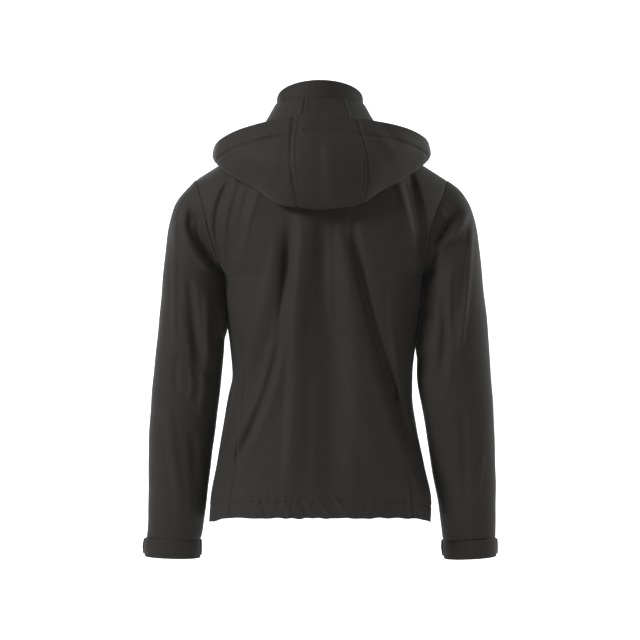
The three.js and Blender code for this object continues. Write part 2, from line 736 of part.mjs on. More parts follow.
// The tab's two faces, made from the cuff's own points moved out.
function cuffTab(cuffGrid) {
  const cols = cuffGrid.outer[0].length;
  const from = Math.round(CUFF_TAB.first * cols);
  const to = Math.round(CUFF_TAB.last * cols);
  const pick = (share) => {
    const place = share * (cuffGrid.outer.length - 1);
    const r = Math.min(cuffGrid.outer.length - 2, Math.floor(place));
    const row = [];
    for (let c = from; c <= to; c += 1) {
      row.push(mid(cuffGrid.outer[r][c % cols], cuffGrid.outer[r + 1][c % cols], place - r));
    }
    return row;
  };
  const levels = [CUFF_TAB.low, 0.5, CUFF_TAB.high].map(pick);
  const normals = gridNormals(levels, false);
  const centre = cuffGrid.outer[1].reduce((s, p) => s.add(p), vec(0, 0, 0)).divideScalar(cols);
  const mean = levels[1].reduce((s, p, c) => s + p.clone().sub(centre).dot(normals[1][c]), 0);
  const sign = mean < 0 ? -1 : 1;
  return {
    outer: moved(levels, normals, sign * (SEAT + TAB_CLOTH)),
    inner: moved(levels, normals, sign * SEAT),
  };
}

// Neck seam from the left opening edge round the back to the right one.
function neckChain(back, frontLeft, frontRight) {
  const top = (grid) => grid.outer[grid.outer.length - 1];
  const left = top(frontLeft).slice(0, FRONT_NECK_STEPS + 1);
  const right = top(frontRight).slice(0, FRONT_NECK_STEPS + 1).reverse();
  const middle = BACK_NECK_STEPS + BACK_SHOULDER_STEPS;
  const across = top(back)
    .slice(middle - BACK_NECK_STEPS, middle + BACK_NECK_STEPS + 1)
    .reverse();
  return [...left, ...across.slice(1, -1), ...right].map((p) => p.clone());
}

function collarPoint(base, share) {
  const turn = Math.atan2(base.x / NECK.half, base.y / (base.y > 0 ? NECK.back : NECK.front));
  const back = Math.cos(turn) > 0;
  const rim = vec(
    COLLAR_RIM.half * Math.sin(turn),
    (back ? COLLAR_RIM.back : COLLAR_RIM.front) * Math.cos(turn),
    COLLAR_RIM.z + (back ? COLLAR_RIM.riseBack : COLLAR_RIM.dropFront) * Math.cos(turn),
  );
  const point = mid(base, rim, share);
  const out = vec(Math.sin(turn), Math.cos(turn), 0);
  point.addScaledVector(out, COLLAR_RIM.belly * 4 * share * (1 - share));
  if (Math.abs(base.x) < FRONT_EDGE + 0.05) point.x = base.x;
  return point;
}

function collar(chain) {
  const seated = chain.map((p) => p.clone().add(vec(0, 0, SEAT)));
  const outer = shareSteps(0, 1, COLLAR_ROWS).map((s) => seated.map((p) => collarPoint(p, s)));
  const normals = outer.map((row) =>
    row.map((p) => vec(p.x / NECK.half ** 2, p.y / NECK.front ** 2, 0).normalize()),
  );
  return { outer, inner: moved(outer, normals, -COLLAR_CLOTH) };
}

// Collar surface by an angle round the hood's axis and a height.
function collarSurface(chain) {
  const seated = chain.map((p) => p.clone().add(vec(0, 0, SEAT)));
  const bearing = (p) => THREE.MathUtils.radToDeg(Math.atan2(p.x, p.y - HOOD_AXIS_Y));
  const baseAt = (angle) => {
    let best = null;
    for (let i = 0; i < seated.length - 1; i += 1) {
      const a = bearing(seated[i]);
      const b = bearing(seated[i + 1]);
      if ((angle - a) * (angle - b) <= 0 && Math.abs(a - b) < 90) {
        best = mid(seated[i], seated[i + 1], (angle - a) / (b - a || 1));
      }
    }
    return best;
  };
  return (angle, z) => {
    const base = baseAt(angle);
    const share = boundary(0, 1, (s) => collarPoint(base, s).z < z);
    return collarPoint(base, share);
  };
}

// Hood surface: an angle round the neck, and 0 at the collar to 1 at the rim.
function hoodSurface(onCollar) {
  const keys = ["wall", "low", "fold", "belly", "rim"];
  const flat = HOOD.map((row) => {
    const out = { at: row.at, seam: row.seam };
    keys.forEach((k) => {
      out[`${k}R`] = row[k][0];
      out[`${k}Z`] = row[k][1];
    });
    return out;
  });
  const cache = new Map();
  const curveAt = (angle) => {
    const name = angle.toFixed(4);
    if (!cache.has(name)) {
      const at = Math.abs(angle);
      const get = (column) => valueAt(flat, "at", at, column);
      const gain = HOOD_GAIN[sideName(angle)];
      const share = Math.max(0, 1 - ((at - gain.peak) / gain.spread) ** 2) ** 2;
      const place = (key) => {
        const up = key === "rim" ? gain.up * share : key === "belly" ? gain.up * share * 0.5 : 0;
        const out = key === "rim" || key === "belly" ? gain.out * share : 0;
        const r = get(`${key}R`) + out;
        return vec(r * Math.sin(rad(angle)), HOOD_AXIS_Y + r * Math.cos(rad(angle)), get(`${key}Z`) + up);
      };
      const start = onCollar(angle, get("seam"));
      start.add(vec(Math.sin(rad(angle)), Math.cos(rad(angle)), 0).multiplyScalar(HOOD_SEAT));
      const points = [start, ...keys.map(place)];
      cache.set(name, new THREE.CatmullRomCurve3(points, false, "centripetal"));
    }
    return cache.get(name);
  };
  return (angle, v) => curveAt(angle).getPoint(v);
}

const hoodSeam = (v, side) => valueAt(HOOD_SEAMS, "v", v, side);

function hoodPiece(surface, steps, startAt, endAt) {
  const outer = shareSteps(0, 1, HOOD_ROWS).map((v) =>
    shareSteps(0, 1, steps).map((u) => surface(lerp(startAt(v), endAt(v), u), v)),
  );
  const normals = outer.map((row, r) =>
    row.map((p, c) => {
      const v = r / HOOD_ROWS;
      const angle = lerp(startAt(v), endAt(v), c / steps);
      const reach = HOOD_END - 0.01;
      const across = surface(clamp(angle + 1.5, -reach, reach), v).sub(
        surface(clamp(angle - 1.5, -reach, reach), v),
      );
      const along = surface(angle, Math.min(1, v + 0.03)).sub(surface(angle, Math.max(0, v - 0.03)));
      return across.cross(along).normalize();
    }),
  );
  return { outer, inner: moved(outer, normals, CLOTH) };
}

// Zip tapes run behind the two opening edges, on the inside of the body and of the collar.
function zipTape(chain, sign) {
  const side = sideName(sign);
  const rows = [];
  const hemZ = valueAt(HEM, "angle", 180, "z") + ZIP.hemLift;
  const bodyTop = chain[0].z;
  for (let r = 0; r <= ZIP.bodySteps + 1; r += 1) {
    const atNeck = r > ZIP.bodySteps;
    const z = atNeck
      ? bodyTop - ZIP.neckDrop
      : lerp(hemZ, bodyTop - ZIP.bodyDrop, r / ZIP.bodySteps);
    const row = ZIP.across.map((x) => {
      const angle = sign * (180 - edgeAngle(z, side, x));
      const along = bodyAt(angle, z + 3).point.sub(bodyAt(angle, z - 3).point);
      const normal = bodyNormal(angle, z, along, false);
      return { point: bodyAt(angle, z).point, normal };
    });
    rows.push({ back: atNeck ? TAPE_BACK.neck : TAPE_BACK.body, row });
  }
  const base = (x) => {
    const seat = chain[0];
    const y = seat.y * Math.sqrt(1 - (x / NECK.half) ** 2);
    return vec(sign * x, y, seat.z + SEAT + x * ZIP.seatSlope);
  };
  for (const share of ZIP.collarShares) {
    const row = ZIP.across.map((x) => {
      const point = collarPoint(base(x), share);
      point.x = sign * x;
      const normal = vec(point.x / NECK.half ** 2, point.y / NECK.front ** 2, 0).normalize();
      return { point, normal };
    });
    rows.push({ back: share ? TAPE_BACK.collar : TAPE_BACK.collarFoot, row });
  }
  const shift = (extra) =>
    rows.map(({ row, back }) =>
      row.map(({ point, normal }) => point.clone().addScaledVector(normal, -back - extra)),
    );
  return { outer: shift(0), inner: shift(TAPE) };
}

// Hard pieces: plates with cut corners, standing in x and height, joined and cut as solids.
const wasm = await Module();
wasm.setup();
const { Manifold } = wasm;

function plate(halfWidth, low, high, corner, from, to) {
  const [w, c] = [halfWidth, corner];
  const outline = [
    [-w + c, low], [w - c, low], [w, low + c], [w, high - c],
    [w - c, high], [-w + c, high], [-w, high - c], [-w, low + c],
  ];
  return Manifold.extrude([outline], to - from).rotate([90, 0, 0]).translate([0, to, 0]);
}

function block(halfWidth, low, high, from, to) {
  return Manifold.cube([2 * halfWidth, to - from, high - low]).translate([-halfWidth, from, low]);
}

function geometryOf(hard) {
  const mesh = hard.getMesh();
  const geometry = new THREE.BufferGeometry();
  geometry.setAttribute("position", new THREE.BufferAttribute(Float32Array.from(mesh.vertProperties), 3));
  geometry.setIndex(Array.from(mesh.triVerts));
  geometry.computeVertexNormals();
  return geometry;
}

// The slider about its hinge line: a body behind the line and a bail round it.
function sliderSolid() {
  const { width, height, depth, arch, archWall, archFree, clear } = SLIDER;
  const reach = archFree + archWall;
  return plate(width / 2, -height / 2, height / 2, 1.6, clear, clear + depth)
    .add(block(arch / 2, -reach, reach, -reach, -archFree))
    .add(block(arch / 2, archFree, reach, -reach, clear + 0.3))
    .add(block(arch / 2, -reach, -archFree, -reach, clear + 0.3));
}

// The pull about its hinge line: a bar under the bail, two arms and a plate.
function pullSolid() {
  const { width, length, thick, bar, armFrom, windowLow } = PULL;
  return plate(width / 2, -length, bar / 2, 1.4, -thick / 2, thick / 2)
    .subtract(block(armFrom, -windowLow, -bar / 2, -thick, thick));
}

// Where the hinge line of the pull is, and how far the zip leans back there.
function hingePlace(chain) {
  const base = vec(0, -NECK.front, chain[0].z + SEAT);
  const share = boundary(0, 1, (s) => collarPoint(base, s).z < SLIDER.z);
  const rise = collarPoint(base, share + 0.02).sub(collarPoint(base, share - 0.02));
  const tapeFront = collarPoint(base, share).y + TAPE_BACK.collar;
  const y = tapeFront - SEAT - SLIDER.depth - SLIDER.clear;
  return { y, z: SLIDER.z, lean: Math.atan2(rise.y, rise.z) };
}

const back = backPanel();
const sides = { left: sidePanel(1), right: sidePanel(-1) };
const fronts = { left: frontPanel(1), right: frontPanel(-1) };
const rings = {
  left: armholeRing(back, sides.left, fronts.left, 1),
  right: armholeRing(back, sides.right, fronts.right, -1),
};
const sleeves = { left: sleeve(rings.left, 1), right: sleeve(rings.right, -1) };
const cuffs = {
  left: cuff(sleeveTurns(rings.left), 1),
  right: cuff(sleeveTurns(rings.right), -1),
};
const chain = neckChain(back, fronts.left, fronts.right);
const collarGrid = collar(chain);
const hood = hoodSurface(collarSurface(chain));

const jacket = new THREE.Group();
jacket.name = "softshell_jacket";
const cloth = new THREE.MeshStandardMaterial({ color: 0x3a3937, roughness: 0.85 });
const metal = new THREE.MeshStandardMaterial({ color: 0x2b2b2c, roughness: 0.45, metalness: 0.6 });

function add(name, geometry, material) {
  const mesh = new THREE.Mesh(geometry, material);
  mesh.name = name;
  jacket.add(mesh);
}

const solid = ({ outer, inner }, around = false) => wall(outer, inner, around);
const seamed = (grid, ...edges) =>
  solid(trimmed(grid, Object.fromEntries(edges.map((edge) => [edge, true]))));

add("back_panel", seamed(back, "top", "start", "end"), cloth);
for (const side of ["left", "right"]) {
  add(`side_panel_${side}`, seamed(sides[side], "top", "start", "end"), cloth);
  add(`front_${side}`, seamed(fronts[side], "top", "end"), cloth);
  add(`sleeve_${side}`, solid(sleeves[side], true), cloth);
  add(`cuff_${side}`, solid(cuffs[side], true), cloth);
  add(`cuff_tab_${side}`, solid(cuffTab(cuffs[side])), cloth);
  add(`zip_tape_${side}`, solid(zipTape(chain, side === "left" ? 1 : -1)), cloth);
}
add("collar", solid(collarGrid), cloth);

const leftSeam = (v) => hoodSeam(v, "left");
const rightSeam = (v) => hoodSeam(v, "right");
add("hood_center", seamed(hoodPiece(hood, HOOD_CENTER_STEPS, rightSeam, leftSeam), "start", "end"), cloth);
add("hood_left", seamed(hoodPiece(hood, HOOD_SIDE_STEPS, leftSeam, () => HOOD_END), "start"), cloth);
add("hood_right", seamed(hoodPiece(hood, HOOD_SIDE_STEPS, () => -HOOD_END, rightSeam), "end"), cloth);

const hinge = hingePlace(chain);
jacket.userData.hinge = hinge;
for (const [name, hard] of [["zip_slider", sliderSolid()], ["zip_pull", pullSolid()]]) {
  const geometry = geometryOf(hard);
  geometry.rotateX(-hinge.lean).translate(0, hinge.y, hinge.z);
  add(name, geometry, metal);
}
const tapeFoot = valueAt(HEM, "angle", 180, "z") + ZIP.hemLift;
const tapeMiddle = bodyAt(180, tapeFoot).point.y + TAPE_BACK.body + TAPE / 2;
const boxDepth = ZIP_BOX.depth / 2;
const box = block(ZIP_BOX.width / 2, -ZIP_BOX.height - SEAT, -SEAT, -boxDepth, boxDepth);
add("zip_box", geometryOf(box.translate([0, tapeMiddle, tapeFoot])), metal);

export default jacket;
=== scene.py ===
"""Looks of a dark softshell jacket with a hanging hood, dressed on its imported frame.

Every cloth piece is a thin shell made from the jacket's own named measures in millimetres, with
its creases, seam rolls, stitched grooves and puckers in the mesh, and sewing thread laid on top.
"""

from __future__ import annotations

import logging
import math
from dataclasses import dataclass, field
from enum import Enum
from typing import Callable, Iterable, Sequence

import bpy
import numpy as np
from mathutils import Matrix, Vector

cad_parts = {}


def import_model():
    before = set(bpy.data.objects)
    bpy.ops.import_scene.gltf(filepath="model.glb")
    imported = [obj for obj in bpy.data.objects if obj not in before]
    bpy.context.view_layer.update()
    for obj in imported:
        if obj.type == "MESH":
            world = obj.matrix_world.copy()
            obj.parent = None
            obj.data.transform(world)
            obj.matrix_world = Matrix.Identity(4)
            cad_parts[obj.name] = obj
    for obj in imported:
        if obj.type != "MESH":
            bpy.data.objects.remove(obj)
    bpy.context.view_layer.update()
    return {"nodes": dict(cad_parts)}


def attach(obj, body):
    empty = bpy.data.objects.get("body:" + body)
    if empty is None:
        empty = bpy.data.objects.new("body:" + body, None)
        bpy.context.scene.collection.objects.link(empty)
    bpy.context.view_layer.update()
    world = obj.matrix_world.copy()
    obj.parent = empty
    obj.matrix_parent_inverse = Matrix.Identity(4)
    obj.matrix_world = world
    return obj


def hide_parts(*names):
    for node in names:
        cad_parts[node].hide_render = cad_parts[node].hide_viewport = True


LOG = logging.getLogger("softshell_jacket")
METRE = 0.001
SHARP_ANGLE = math.radians(52)
Array = np.ndarray


class Side(Enum):
    """The wearer's left and right, with the sign of X on that side."""

    LEFT = 1
    RIGHT = -1

    @property
    def word(self) -> str:
        """Lower-case name, as used in the names of pieces."""
        return self.name.lower()


class Edge(Enum):
    """The four borders of a grid of points."""

    LOW = "low"
    HIGH = "high"
    START = "start"
    END = "end"


# Reading tables


@dataclass(frozen=True)
class Table:
    """Rows of measures, read between its rows without overshoot.

    Args:
        columns: names of the columns, the first one being the place that the table is read at.
        rows: the measures, with the first column rising.
    """

    columns: str
    rows: tuple[tuple[float, ...], ...]

    def at(self, where: Array | float, column: str) -> Array:
        """Reads one column.

        Args:
            where: places on the first column.
            column: name of the column to read.

        Returns:
            The column's value at each place.
        """
        data = np.array(self.rows, float)
        xs, ys = data[:, 0], data[:, self.columns.split().index(column)]
        step = np.diff(xs)
        rise = np.diff(ys) / step
        slope = np.zeros(len(xs))
        slope[0], slope[-1] = rise[0], rise[-1]
        for k in range(1, len(xs) - 1):
            if rise[k - 1] * rise[k] > 0:
                before, after = 2 * step[k] + step[k - 1], step[k] + 2 * step[k - 1]
                slope[k] = (before + after) / (before / rise[k - 1] + after / rise[k])
        place = np.clip(np.asarray(where, float), xs[0], xs[-1])
        i = np.clip(np.searchsorted(xs, place, "right") - 1, 0, len(xs) - 2)
        t = (place - xs[i]) / step[i]
        return between(ys[i], ys[i + 1], slope[i] * step[i], slope[i + 1] * step[i], t)


def between(start: Array, end: Array, leaving: Array, arriving: Array, t: Array) -> Array:
    """A smooth curve from one value to the next.

    Args:
        start: value at 0.
        end: value at 1.
        leaving: slope at 0.
        arriving: slope at 1.
        t: places from 0 to 1.

    Returns:
        The value at each place.
    """
    return (
        start * (1 + 2 * t) * (1 - t) ** 2 + leaving * t * (1 - t) ** 2
        + end * t * t * (3 - 2 * t) + arriving * t * t * (t - 1)
    )


def ease(value: Array | float, low: float, high: float) -> Array:
    """Smooth step from 0 at `low` to 1 at `high`."""
    t = np.clip((np.asarray(value, float) - low) / (high - low), 0, 1)
    return t * t * (3 - 2 * t)


def rounded(value: Array, roundness: float) -> Array:
    """A sine or cosine bent towards a squarer section."""
    return np.sign(value) * np.abs(value) ** (2 / roundness)


HALVINGS = 44


def bisect(low: Array, high: Array, holds: Callable[[Array], Array]) -> Array:
    """The place between low and high where a test stops holding, for each entry.

    Args:
        low: places where the test holds.
        high: places where it doesn't.
        holds: the test.

    Returns:
        The place found for each entry.
    """
    a, b = np.array(low, float), np.array(high, float)
    for _ in range(HALVINGS):
        m = (a + b) / 2
        ok = holds(m)
        a, b = np.where(ok, m, a), np.where(ok, b, m)
    return a


def lengths_along(points: Array, axis: int) -> Array:
    """Distance walked along one axis of a grid of points, starting at 0.

    Args:
        points: the grid or line of points.
        axis: the axis to walk along.

    Returns:
        The distance at each point.
    """
    step = np.linalg.norm(np.diff(points, axis=axis), axis=-1)
    zero = np.zeros_like(np.take(step, [0], axis=axis))
    return np.concatenate([zero, np.cumsum(step, axis=axis)], axis=axis)


def read_line(at: Array | float, walked: Array, values: Array) -> Array:
    """Reads points or normals at places along a line.

    Args:
        at: the places.
        walked: place of each given point, rising.
        values: the points or their normals.

    Returns:
        The values read.
    """
    return np.stack([np.interp(at, walked, values[:, k]) for k in range(3)], -1)


def unit(vectors: Array) -> Array:
    """Vectors of length one."""
    return vectors / np.maximum(np.linalg.norm(vectors, axis=-1, keepdims=True), 1e-9)


# Measures of the jacket, the same as those of its solids

BODY_ROUNDNESS = 2.3
SLEEVE_ROUNDNESS = 2.15
CLOTH = 1.8
COLLAR_CLOTH = 3.0
CUFF_CLOTH = 2.8
UNDERARM_Z = -262.0
BACK_SEAM_TOP = -222.0
SIDE_SEAM_ANGLE = 102.0
FRONT_EDGE = 6.5
SHOULDER_TIP = 226.0
NECK_HALF, NECK_BACK, NECK_FRONT = 74.0, 66.0, 62.0
SHOULDER_Z, SHOULDER_SLOPE, SHOULDER_BEND, SHOULDER_START = 8.0, 0.64, 40.0, 82.4
RIGHT_SHOULDER_RISE, RISE_FROM, RISE_FULL = 2.4, 90.0, 170.0
NECK_DROP = 45.0
# How far below the shoulder line the body starts to turn over, at the neck, and less at the tip
BACK_TURN, BACK_TURN_LESS, FRONT_TURN, FRONT_TURN_LESS = 160.0, 35.0, 240.0, 70.0
FRONT_FLATNESS = 1.24
# Creases come in below the shoulder line and away from the sides, and lean a little to the side
CREASE_BELOW, CREASE_ASIDE, CREASE_LEAN = (0.3, 0.9), (0.05, 0.5), 0.5

GIRTH = Table("z left right", (
    (-712, 202, 201), (-668, 199.5, 202.5), (-606, 188.5, 190), (-531, 176, 175),
    (-477, 166.5, 168), (-440, 159.2, 168.2), (-386, 164, 174.2), (-340, 169.6, 180),
    (-293, 172.8, 186), (-262, 174, 188),
))
PROFILE = Table("z back front", (
    (-712, 112, 122), (-668, 111, 121), (-606, 107, 119), (-531, 101, 116), (-477, 97, 114),
    (-440, 96, 114), (-386, 99, 118), (-340, 106, 122), (-293, 112, 125), (-262, 116, 126),
    (-150, 118, 126), (-87, 116, 126),
))
ARMHOLE = Table("z left right angle", (
    (-262, 174, 188, 90), (-250, 176.5, 189.5, 76), (-234, 183, 192, 67),
    (-222, 187, 193.5, 64), (-205, 193.5, 196, 60.5), (-171, 203, 201.5, 57.5),
    (-142, 210, 210.5, 56.5), (-113, 217, 223, 56), (-87, 226, 231, 56),
))
BACK_SEAM = Table("z angle", (
    (-712, 52), (-600, 51), (-500, 52), (-450, 55), (-399, 57), (-340, 59.5), (-290, 62),
    (-250, 63.5), (-222, 64),
))
HEM = Table("angle z", ((0, -689.5), (45, -692), (90, -706), (130, -704), (180, -700)))


@dataclass(frozen=True)
class Crease:
    """One crease in X and Z seen from behind: its ends and bend, its height and widths.

    Args:
        top: its upper end.
        bend: the place that bends it.
        end: its lower end.
        height: how far it stands out, or in where below 0.
        plus: its width towards the wearer's left.
        minus: its width towards the wearer's right.
    """

    top: tuple[float, float]
    bend: tuple[float, float]
    end: tuple[float, float]
    height: float
    plus: float
    minus: float


class CreaseField:
    """The height that a set of creases adds anywhere on a surface."""

    STEPS = 20
    # Share of a crease's length over which it fades at each end
    END_FADE = 0.2

    def __init__(self, creases: Iterable[Crease]) -> None:
        """Lays each crease as a bent line of short steps.

        Args:
            creases: the creases.
        """
        self.lines: list[tuple[Crease, Array]] = []
        t = np.linspace(0, 1, self.STEPS + 1)[:, None]
        for c in creases:
            top, bend, end = np.array(c.top), np.array(c.bend), np.array(c.end)
            self.lines.append((c, top * (1 - t) ** 2 + 2 * bend * t * (1 - t) + end * t * t))

    def height(self, x: Array, z: Array) -> Array:
        """Sum of the creases' heights.

        Args:
            x: places to the side.
            z: heights of those places.

        Returns:
            How far each place is pushed out.
        """
        total = np.zeros_like(x)
        for crease, line in self.lines:
            best = np.full(x.shape, np.inf)
            along, side = np.zeros_like(x), np.ones_like(x)
            for i in range(self.STEPS):
                dx, dz = line[i + 1] - line[i]
                ax, az = x - line[i, 0], z - line[i, 1]
                t = np.clip((ax * dx + az * dz) / (dx * dx + dz * dz), 0, 1)
                px, pz = ax - dx * t, az - dz * t
                d = np.hypot(px, pz)
                near = d < best
                best = np.where(near, d, best)
                along = np.where(near, (i + t) / self.STEPS, along)
                side = np.where(near, np.where(pz * dx - px * dz > 0, 1.0, -1.0), side)
            width = np.where(side > 0, crease.plus, crease.minus)
            fade = ease(along, 0, self.END_FADE) * ease(1 - along, 0, self.END_FADE)
            total += crease.height * fade * np.maximum(0, 1 - (best / width) ** 2) ** 2
        return total


def creases(*rows: tuple[float, ...]) -> CreaseField:
    """A field of creases from rows of nine measures.

    Args:
        rows: X and Z of the upper end, of the bend and of the lower end, height, and the widths
            towards the wearer's left and right.

    Returns:
        The field.
    """
    return CreaseField(Crease(row[0:2], row[2:4], row[4:6], *row[6:]) for row in rows)


BODY_CREASES = creases(
    (25, -150, 40, -380, 190, -650, 6, 22, 45),
    (50, -160, 85, -350, 140, -540, -6, 24, 24),
    (72, -190, 110, -400, 178, -590, 5, 20, 20),
    (5, -140, 18, -400, 22, -690, -5, 34, 34),
    (-44, -140, -62, -400, -192, -648, 6, 45, 20),
    (-58, -170, -98, -350, -155, -530, -6, 24, 24),
    (-95, -170, -130, -330, -165, -500, 3.5, 22, 22),
    (150, -90, 200, -140, 178, -215, -4, 16, 16),
    (120, -95, 140, -150, 155, -240, -4, 18, 18),
    (-148, -80, -172, -140, -186, -230, -5, 18, 18),
)
FRONT_CREASES = creases(
    (60, -130, 75, -380, 175, -640, 5, 26, 44),
    (92, -180, 110, -360, 150, -520, -5, 24, 24),
    (-66, -140, -80, -400, -180, -640, 5, 44, 26),
    (-100, -190, -118, -360, -152, -530, -5, 24, 24),
    (150, -100, 180, -150, 176, -220, -4, 18, 18),
    (-150, -95, -180, -150, -186, -225, -4, 18, 18),
)
SLEEVE_CREASES = creases(
    (262, -160, 240, -250, 182, -255, 5, 22, 16),
    (245, -150, 215, -190, 188, -236, -5, 16, 16),
    (238, -294, 220, -400, 184, -465, -4, 18, 18),
    (-264, -149, -232, -196, -197, -251, 5, 16, 16),
    (-241, -126, -222, -170, -199, -215, -5, 16, 16),
    (-243, -300, -225, -400, -190, -470, -4, 18, 18),
)


# Smaller folds that the cloth pieces have on top of the creases of the solids

BACK_FOLDS = creases(
    (32, -66, 37, -340, 60, -680, 6.2, 18, 36),
    (-18, -66, -25, -358, -18, -712, -8.4, 36, 44),
    (5, -66, 18, -379, 21, -689, 2.8, 34, 34),
    (55, -137, 50, -454, 173, -627, -6.8, 11, 15),
    (69, -154, 71, -448, 181, -606, 4.2, 24, 9),
    (-46, -128, -67, -376, -205, -659, -3.0, 11, 8),
    (142, -358, 131, -455, 170, -606, -2.4, 8, 12),
    (-53, -110, -64, -358, -219, -684, -7.5, 26, 12),
    (-64, -137, -94, -376, -228, -662, 4.2, 9, 24),
    (-27, -66, -23, -393, -138, -684, 4.2, 34, 30),
    (-46, -66, -51, -154, -57, -287, 2.8, 8, 7),
    (-14, -66, -16, -181, -19, -358, 2.0, 9, 8),
    (120, -39, 166, -137, 166, -266, -3.4, 10, 13),
    (92, -66, 136, -154, 149, -291, 2.0, 16, 12),
    (152, -78, 207, -153, 170, -252, -4.2, 9, 9),
    (-152, -57, -193, -154, -195, -326, -5.5, 11, 10),
    (-135, -71, -173, -181, -177, -344, 3.5, 14, 9),
    (-117, -192, -127, -358, -150, -526, 2.4, 9, 9),
    (-159, -305, -173, -429, -212, -535, -2.5, 10, 10),
    (163, -305, 145, -358, 136, -432, -2.2, 8, 8),
    (7, -652, -4, -670, -25, -693, 2.6, 5, 6),
    (-18, -648, -39, -668, -53, -693, 2.4, 5, 6),
    (39, -654, 28, -670, 18, -693, -2.0, 6, 6),
    (67, -655, 57, -673, 53, -693, 1.8, 6, 6),
    (103, -654, 103, -673, 92, -693, -1.6, 6, 7),
    (-92, -654, -92, -673, -81, -693, 1.6, 6, 7),
)
FRONT_FOLDS = creases(
    (-19, -97, 4, -359, 131, -707, 3.6, 24, 30),
    (69, -228, 108, -434, 194, -677, -4, 14, 18),
    (-75, -116, -86, -378, -209, -699, -4.4, 24, 14),
    (-90, -142, -112, -396, -224, -677, 2.6, 10, 22),
    (105, -116, 150, -191, 165, -303, 2.4, 10, 8),
    (127, -97, 172, -163, 180, -256, -3, 8, 9),
    (-135, -97, -183, -181, -194, -303, -3.4, 9, 9),
    (-120, -116, -157, -209, -172, -340, 2.2, 12, 8),
)
HOOD_FOLDS = creases(
    (-101, 22, -118, -17, -153, -38, -3.5, 9, 9),
    (-87, 11, -104, -24, -136, -48, 2.4, 8, 9),
    (38, 4, 90, -6, 153, -38, 1.2, 12, 14),
    (87, -20, 108, -44, 139, -48, -1.4, 12, 12),
    (-17, -27, -10, -71, -28, -132, 1.6, 18, 18),
    (61, -24, 56, -71, 77, -118, -1.6, 14, 14),
    (-90, -27, -125, -62, -136, -104, -1.8, 14, 14),
    (146, -41, 101, -76, 49, -97, 1.4, 12, 12),
)
SLEEVE_FOLDS = creases(
    (233, -126, 268, -197, 168, -269, 6.0, 14, 10),
    (209, -136, 243, -194, 163, -244, -4.6, 10, 13),
    (258, -143, 263, -269, 260, -394, 2.6, 9, 8),
    (236, -254, 222, -340, 220, -462, -4.5, 12, 12),
    (204, -278, 192, -394, 215, -528, 4, 12, 10),
    (168, -236, 190, -304, 190, -385, -5, 12, 9),
    (175, -251, 222, -279, 268, -236, -3, 10, 12),
    (251, -398, 265, -433, 251, -475, -2.4, 10, 9),
    (233, -423, 222, -455, 236, -487, 2.2, 8, 9),
    (276, -475, 261, -591, 251, -716, 2.6, 14, 14),
    (229, -528, 222, -627, 227, -731, -3, 12, 12),
    (-276, -131, -242, -202, -184, -228, 6.5, 14, 8),
    (-254, -131, -226, -190, -184, -240, -5.5, 9, 9),
    (-276, -140, -268, -278, -247, -423, 4.4, 10, 7),
    (-193, -215, -204, -269, -193, -358, -4.5, 10, 10),
    (-236, -236, -226, -304, -236, -385, 2.6, 10, 8),
    (-202, -304, -186, -385, -186, -457, -5, 12, 12),
    (-218, -278, -231, -376, -213, -492, -4, 12, 12),
    (-294, -577, -290, -618, -283, -659, 2.4, 7, 7),
    (-254, -484, -265, -609, -258, -725, -2.6, 12, 12),
    (-204, -118, -211, -143, -229, -165, 2.2, 5, 6),
    (-197, -140, -202, -165, -217, -190, -2.2, 5, 6),
    (211, -118, 217, -143, 233, -168, -2, 5, 6),
)


# The form of the body


def half_width(z: Array, sign: Array) -> Array:
    """Distance of the side line from the middle, above the underarm by way of the armhole.

    Args:
        z: heights.
        sign: sign of X on the side, for each height.

    Returns:
        The distance at each height.
    """
    z = np.asarray(z, float)
    low = np.where(sign > 0, GIRTH.at(z, "left"), GIRTH.at(z, "right"))
    high = np.where(sign > 0, ARMHOLE.at(z, "left"), ARMHOLE.at(z, "right"))
    share = rounded(np.sin(np.radians(ARMHOLE.at(z, "angle"))), BODY_ROUNDNESS)
    return np.where(z <= UNDERARM_Z, low, high / share)


def ridge_height(x: Array, behind: Array) -> Array:
    """Height of the shoulder line, with the drop of the neck at the front.

    Args:
        x: places to the side.
        behind: whether each lies on the back.

    Returns:
        The height at each place.
    """
    line = SHOULDER_Z - SHOULDER_SLOPE * (np.hypot(x, SHOULDER_BEND) - SHOULDER_START)
    line = line + RIGHT_SHOULDER_RISE * ease(-x, RISE_FROM, RISE_FULL)
    drop = NECK_DROP * np.maximum(0, 1 - (x / NECK_HALF) ** 2) ** 2
    return np.where(behind, line, line - drop)


def body_at(angle: Array, z: Array) -> tuple[Array, Array]:
    """Points of the body's outer face.

    Args:
        angle: signed angle from the centre back, in degrees.
        z: heights.

    Returns:
        The points, and whether each lies on the body below its shoulder line.
    """
    angle, z = np.broadcast_arrays(np.asarray(angle, float), np.asarray(z, float))
    behind = np.abs(angle) <= 90
    turn = np.radians(angle)
    x = half_width(z, np.where(angle >= 0, 1, -1)) * rounded(np.sin(turn), BODY_ROUNDNESS)
    deep = np.where(behind, PROFILE.at(z, "back"), PROFILE.at(z, "front"))
    tip = np.clip(np.abs(x) / SHOULDER_TIP, 0, 1)
    over = np.where(behind, BACK_TURN - BACK_TURN_LESS * tip, FRONT_TURN - FRONT_TURN_LESS * tip)
    below = np.clip((ridge_height(x, behind) - z) / over, 0, 1)
    share = np.sqrt(1 - (1 - below) ** 2) ** np.where(behind, 1.0, FRONT_FLATNESS)
    y = deep * rounded(np.cos(turn), BODY_ROUNDNESS) * share
    weight = ease(share, *CREASE_BELOW) * ease(np.abs(np.cos(turn)), *CREASE_ASIDE)
    push = weight * np.where(behind, BODY_CREASES.height(x, z), FRONT_CREASES.height(x, z))
    out = unit(np.stack([np.sin(turn) * CREASE_LEAN, np.cos(turn), np.zeros_like(turn)], -1))
    return np.stack([x, y, z], -1) + out * push[..., None], below > 0


